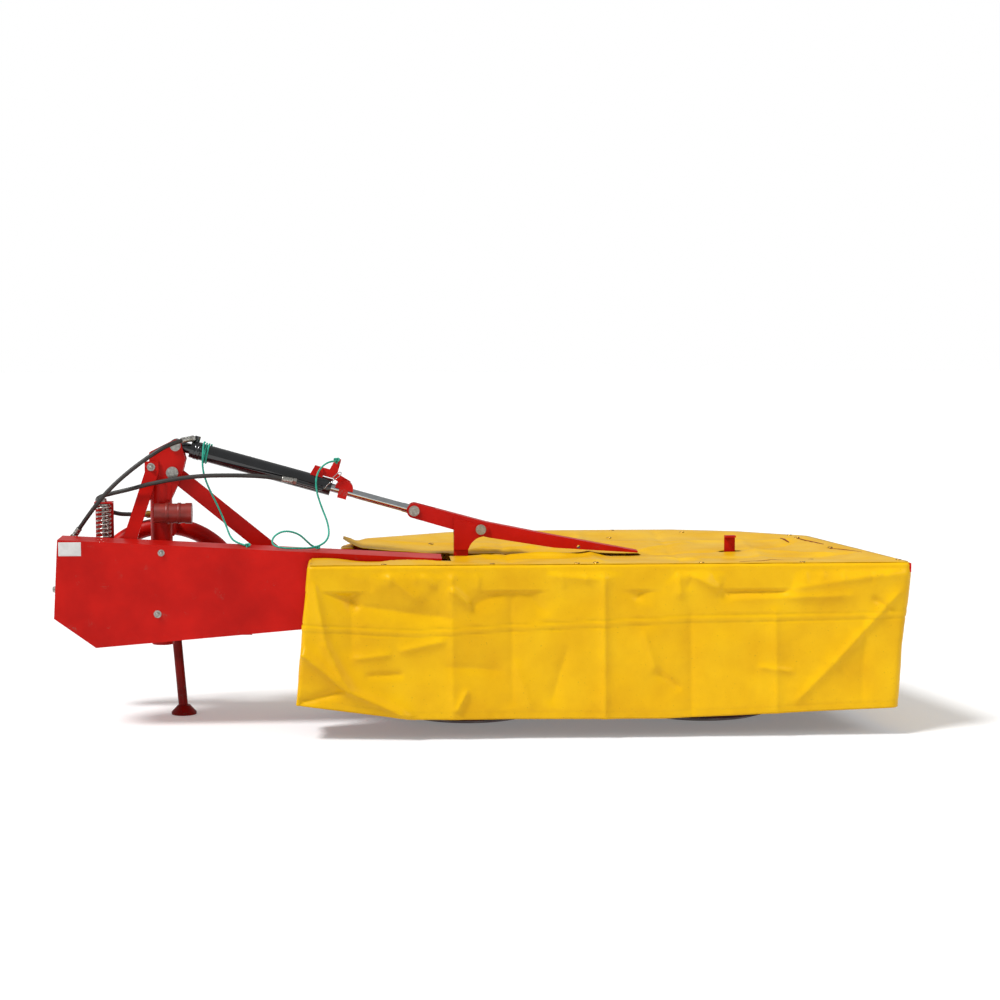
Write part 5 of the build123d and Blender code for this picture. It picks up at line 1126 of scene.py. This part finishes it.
# Sizes are for a bolt of 10 mm over the flats: washer, head with its chamfer, nut face and thread end.
hex_bolt = turned_shape("hex_bolt", [
    (-0.0005, 0.0098, 0), (0.0014, 0.0100, 0), (0.0016, 0.0096, 0), (0.0016, 0.0050, 6), (0.0064, 0.0050, 6),
    (0.0074, 0.0047, 0), (0.0074, 0.0034, 0), (0.0098, 0.0034, 0), (0.0104, 0.0027, 0)])
weld_scale = turned_shape("weld_scale", [(-0.0020, 0.0030, 0), (0.0004, 0.0029, 0), (0.0013, 0.0020, 0),
                                         (0.0016, 0.0008, 0)], sides=12)


def eyelet_ring():
    """A rolled brass ring of 12 mm, open in the middle."""
    points, faces = [], []
    around, across = 28, 8
    for i in range(around):
        a = 2 * math.pi * i / around
        for j in range(across):
            b = 2 * math.pi * j / across
            radius = 0.0055 + 0.0020 * math.cos(b)
            points.append((radius * math.cos(a), radius * math.sin(a), 0.0004 + 0.0011 * math.sin(b)))
    for i in range(around):
        for j in range(across):
            i2, j2 = (i + 1) % around, (j + 1) % across
            faces.append((i * across + j, i2 * across + j, i2 * across + j2, i * across + j2))
    mesh = bpy.data.meshes.new("eyelet")
    mesh.from_pydata(points, [], faces)
    return bpy.data.objects.new("eyelet", mesh)


eyelet = eyelet_ring()
print("shapes:", hex_bolt.name, weld_scale.name, eyelet.name)

# %% Set a shape on places
def set_pieces(name, shape, places, material, body, seed, turn=2 * math.pi):
    """One mesh of a shape on places of (position, facing, size)."""
    mesh = bpy.data.meshes.new(name)
    mesh.from_pydata([place[0] for place in places], [], [])
    facing = mesh.attributes.new("facing", "FLOAT_VECTOR", "POINT")
    facing.data.foreach_set("vector", np.array([place[1] for place in places], np.float32).ravel())
    size = mesh.attributes.new("size", "FLOAT", "POINT")
    size.data.foreach_set("value", np.array([place[2] for place in places], np.float32))
    piece = bpy.data.objects.new(name, mesh)
    bpy.context.scene.collection.objects.link(piece)
    modifier = piece.modifiers.new("set", "NODES")
    modifier.node_group = set_on_points
    sockets = {
        item.name: item.identifier for item in set_on_points.interface.items_tree if item.in_out == "INPUT"}
    modifier[sockets["Shape"]] = shape
    modifier[sockets["Seed"]] = seed
    modifier[sockets["Turn"]] = turn
    modifier[sockets["Finish"]] = material
    bpy.context.view_layer.update()
    evaluated = piece.evaluated_get(bpy.context.evaluated_depsgraph_get())
    finished = bpy.data.meshes.new_from_object(evaluated)
    piece.modifiers.clear()
    piece.data = finished
    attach(piece, body)
    print(name, len(places), "places,", len(finished.polygons), "faces")
    return piece


# %% [markdown]
# The bolts that show: two hold the guard's rear sheet, one holds the stay, and a row closes the gear case under
# the top sheet. The guard's bolts are zinc-plated, the gear case's are painted over.

# %% Bolts
back, up = (0.0, -1.0, 0.0), (0.0, 0.0, 1.0)
guard_rear_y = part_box("belt_guard")[0].y
frame_bolts = [((-1.053, guard_rear_y, 0.610), back, 1.15), ((-1.068, guard_rear_y, 0.401), back, 1.3),
               ((-1.103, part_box("mast_stay")[0].y + 0.056, 0.886), back, 1.4)]
set_pieces("frame_bolts", hex_bolt, frame_bolts, zinc, "frame", seed=3)
case_bolts = [((x, y, 0.520), up, 1.3) for x in np.arange(0.13, 0.94, 0.10) for y in (-0.055, 0.055)]
# The gear case's bolts are painted over with the red that carries painted shade.
set_pieces("gear_case_bolts", hex_bolt, case_bolts, red_coat_painted_shade, "deck", seed=4)

# %% [markdown]
# Eyelets line the top sheet where it is laced and where straps can hold it. Each one takes its height and
# direction from the cloth that it sits on, found by the nearest place of the sheet.

# %% Eyelets
def on_cover(x, y):
    """Height and direction of the top sheet at a place."""
    near = np.argsort((found[:, 0] - x) ** 2 + (found[:, 1] - y) ** 2)[:14]
    design = np.column_stack([found[near, 0] - x, found[near, 1] - y, np.ones(len(near))])
    slope_x, slope_y, height = np.linalg.lstsq(design, heights[near], rcond=None)[0]
    normal = np.array([-slope_x, -slope_y, 1.0])
    return height, tuple(normal / np.linalg.norm(normal))


eyelet_places = []
for x, y in [(1.149, -0.394), (0.407, -0.493), (0.343, -0.503), (0.060, -0.503), (1.435, -0.455), (1.277, -0.080),
             (1.211, 0.206), (0.817, 0.427), (0.534, 0.341), (-0.129, 0.180), (-0.300, -0.500), (0.760, -0.503),
             (1.100, -0.503), (0.200, 0.470), (0.560, 0.495), (1.200, 0.300)]:
    height, normal = on_cover(x, y)
    eyelet_places.append(((x, y, height + 0.0003), normal, 1.25))
cover_eyelets = set_pieces("cover_eyelets", eyelet, eyelet_places, brass, "deck", seed=5)

# %% [markdown]
# The straps that show in the slits are 8 mm wide and lie just over the cloth. Each is a narrow closed ribbon,
# widest in the middle and pointed at both ends, as a slit opens, and it takes its heights from the sheet
# under it.

# %% Straps in the slits
strap_points, strap_faces = [], []
stations = 36
for start, end in slits:
    start, end = np.array(start), np.array(end)
    ahead = (end - start) / np.linalg.norm(end - start)
    across = np.array([-ahead[1], ahead[0]])
    first = len(strap_points)
    for station in range(stations + 1):
        share = station / stations
        middle = start + (end - start) * share
        half = 0.3 * mm + 3.4 * mm * math.sin(math.pi * share) ** 0.6
        height = on_cover(*middle)[0]
        for side, lift in ((-1, 0.0006), (1, 0.0006), (1, -0.0010), (-1, -0.0010)):
            strap_points.append((*(middle + across * half * side), height + lift))
    for station in range(stations):
        a = first + station * 4
        for corner in range(4):
            after = (corner + 1) % 4
            strap_faces.append((a + corner, a + 4 + corner, a + 4 + after, a + after))
    strap_faces += [(first, first + 1, first + 2, first + 3),
                    tuple(first + stations * 4 + corner for corner in (3, 2, 1, 0))]
strap_web = surface("strap_webbing_dark_red", ("#8A1408", "#6A1007"), (0.5, 0.7), drift_mm=15, grain_mm=1.2,
                    bump=0.3)
cover_straps = piece_from("cover_straps", strap_points, strap_faces, strap_web, body="deck")
check = bmesh.new()
check.from_mesh(cover_straps.data)
bmesh.ops.recalc_face_normals(check, faces=check.faces)
check.to_mesh(cover_straps.data)
check.free()
print("straps:", len(slits))

# %% [markdown]
# A weld bead is a row of overlapping scales, one for each pulse of the torch. The beads run where plates meet
# the post, the hitch and the arm. They are painted with the frame.

# %% Weld beads
def bead(start, end, facing, size=1.0):
    """Scales along a seam, 2.6 mm apart."""
    start, end = np.array(start), np.array(end)
    count = max(2, int(np.linalg.norm(end - start) / (2.6 * mm)))
    return [(tuple(start + (end - start) * i / count), facing, size * (0.92 + 0.08 * math.sin(i * 2.3)))
            for i in range(count + 1)]


frame_seams = []
for x, side in ((-1.1105, -1), (-1.0355, 1)):
    frame_seams += bead((x, -0.0905, 0.774), (x, -0.0905, 0.822), (side * 0.5, -0.8, 0.0))
for x in (-1.111, -1.035):
    frame_seams += bead((x, -0.066, 0.30), (x, -0.066, 0.52), (math.copysign(0.7, x + 1.073), -0.7, 0.0))
set_pieces("frame_weld_beads", weld_scale, frame_seams, red_coat, "frame", seed=6)
deck_seams = []
for y, side in ((-0.0985, -1), (0.0185, 1)):
    deck_seams += bead((-0.066, y, 0.5215), (0.058, y, 0.5215), (0.0, side * 0.7, 0.7), 1.2)
# The deck's beads take the red with painted shade.
set_pieces("deck_weld_beads", weld_scale, deck_seams, red_coat_painted_shade, "deck", seed=7)

# %% [markdown]
# On the guard's rear sheet is a small blank plate of white enamelled aluminium. It is slightly crowned, so it
# is a grid of points whose height falls off at the edge.

# %% Blank plate on the guard
plate_left, plate_right, plate_low, plate_high = -1.3985, -1.3225, 0.6010, 0.6480
columns, rows = 20, 13
plate_points, plate_faces = [], []
for row in range(rows + 1):
    for column in range(columns + 1):
        u, v = column / columns, row / rows
        crown = 1.2 * mm * (1 - (2 * u - 1) ** 8) * (1 - (2 * v - 1) ** 8) + 0.3 * mm
        plate_points.append((plate_left + (plate_right - plate_left) * u, guard_rear_y - crown,
                             plate_low + (plate_high - plate_low) * v))
for row in range(rows):
    for column in range(columns):
        a = row * (columns + 1) + column
        plate_faces.append((a, a + 1, a + columns + 2, a + columns + 1))
enamel = surface("white_enamel", ("#D9D8D6", "#C9C8C5"), (0.25, 0.40), drift_mm=25, grain_mm=3.0)
piece_from("blank_plate", plate_points, plate_faces, enamel, body="frame")
print("plate", round(plate_right - plate_left, 3), "x", round(plate_high - plate_low, 3), "m")
# %% [markdown]
# The top sheet's area is printed, as half that of its thickened mesh, whose two faces are both counted.

print("cover area", round(sum(p.area for p in cover.data.polygons) / 2, 3), "m2")
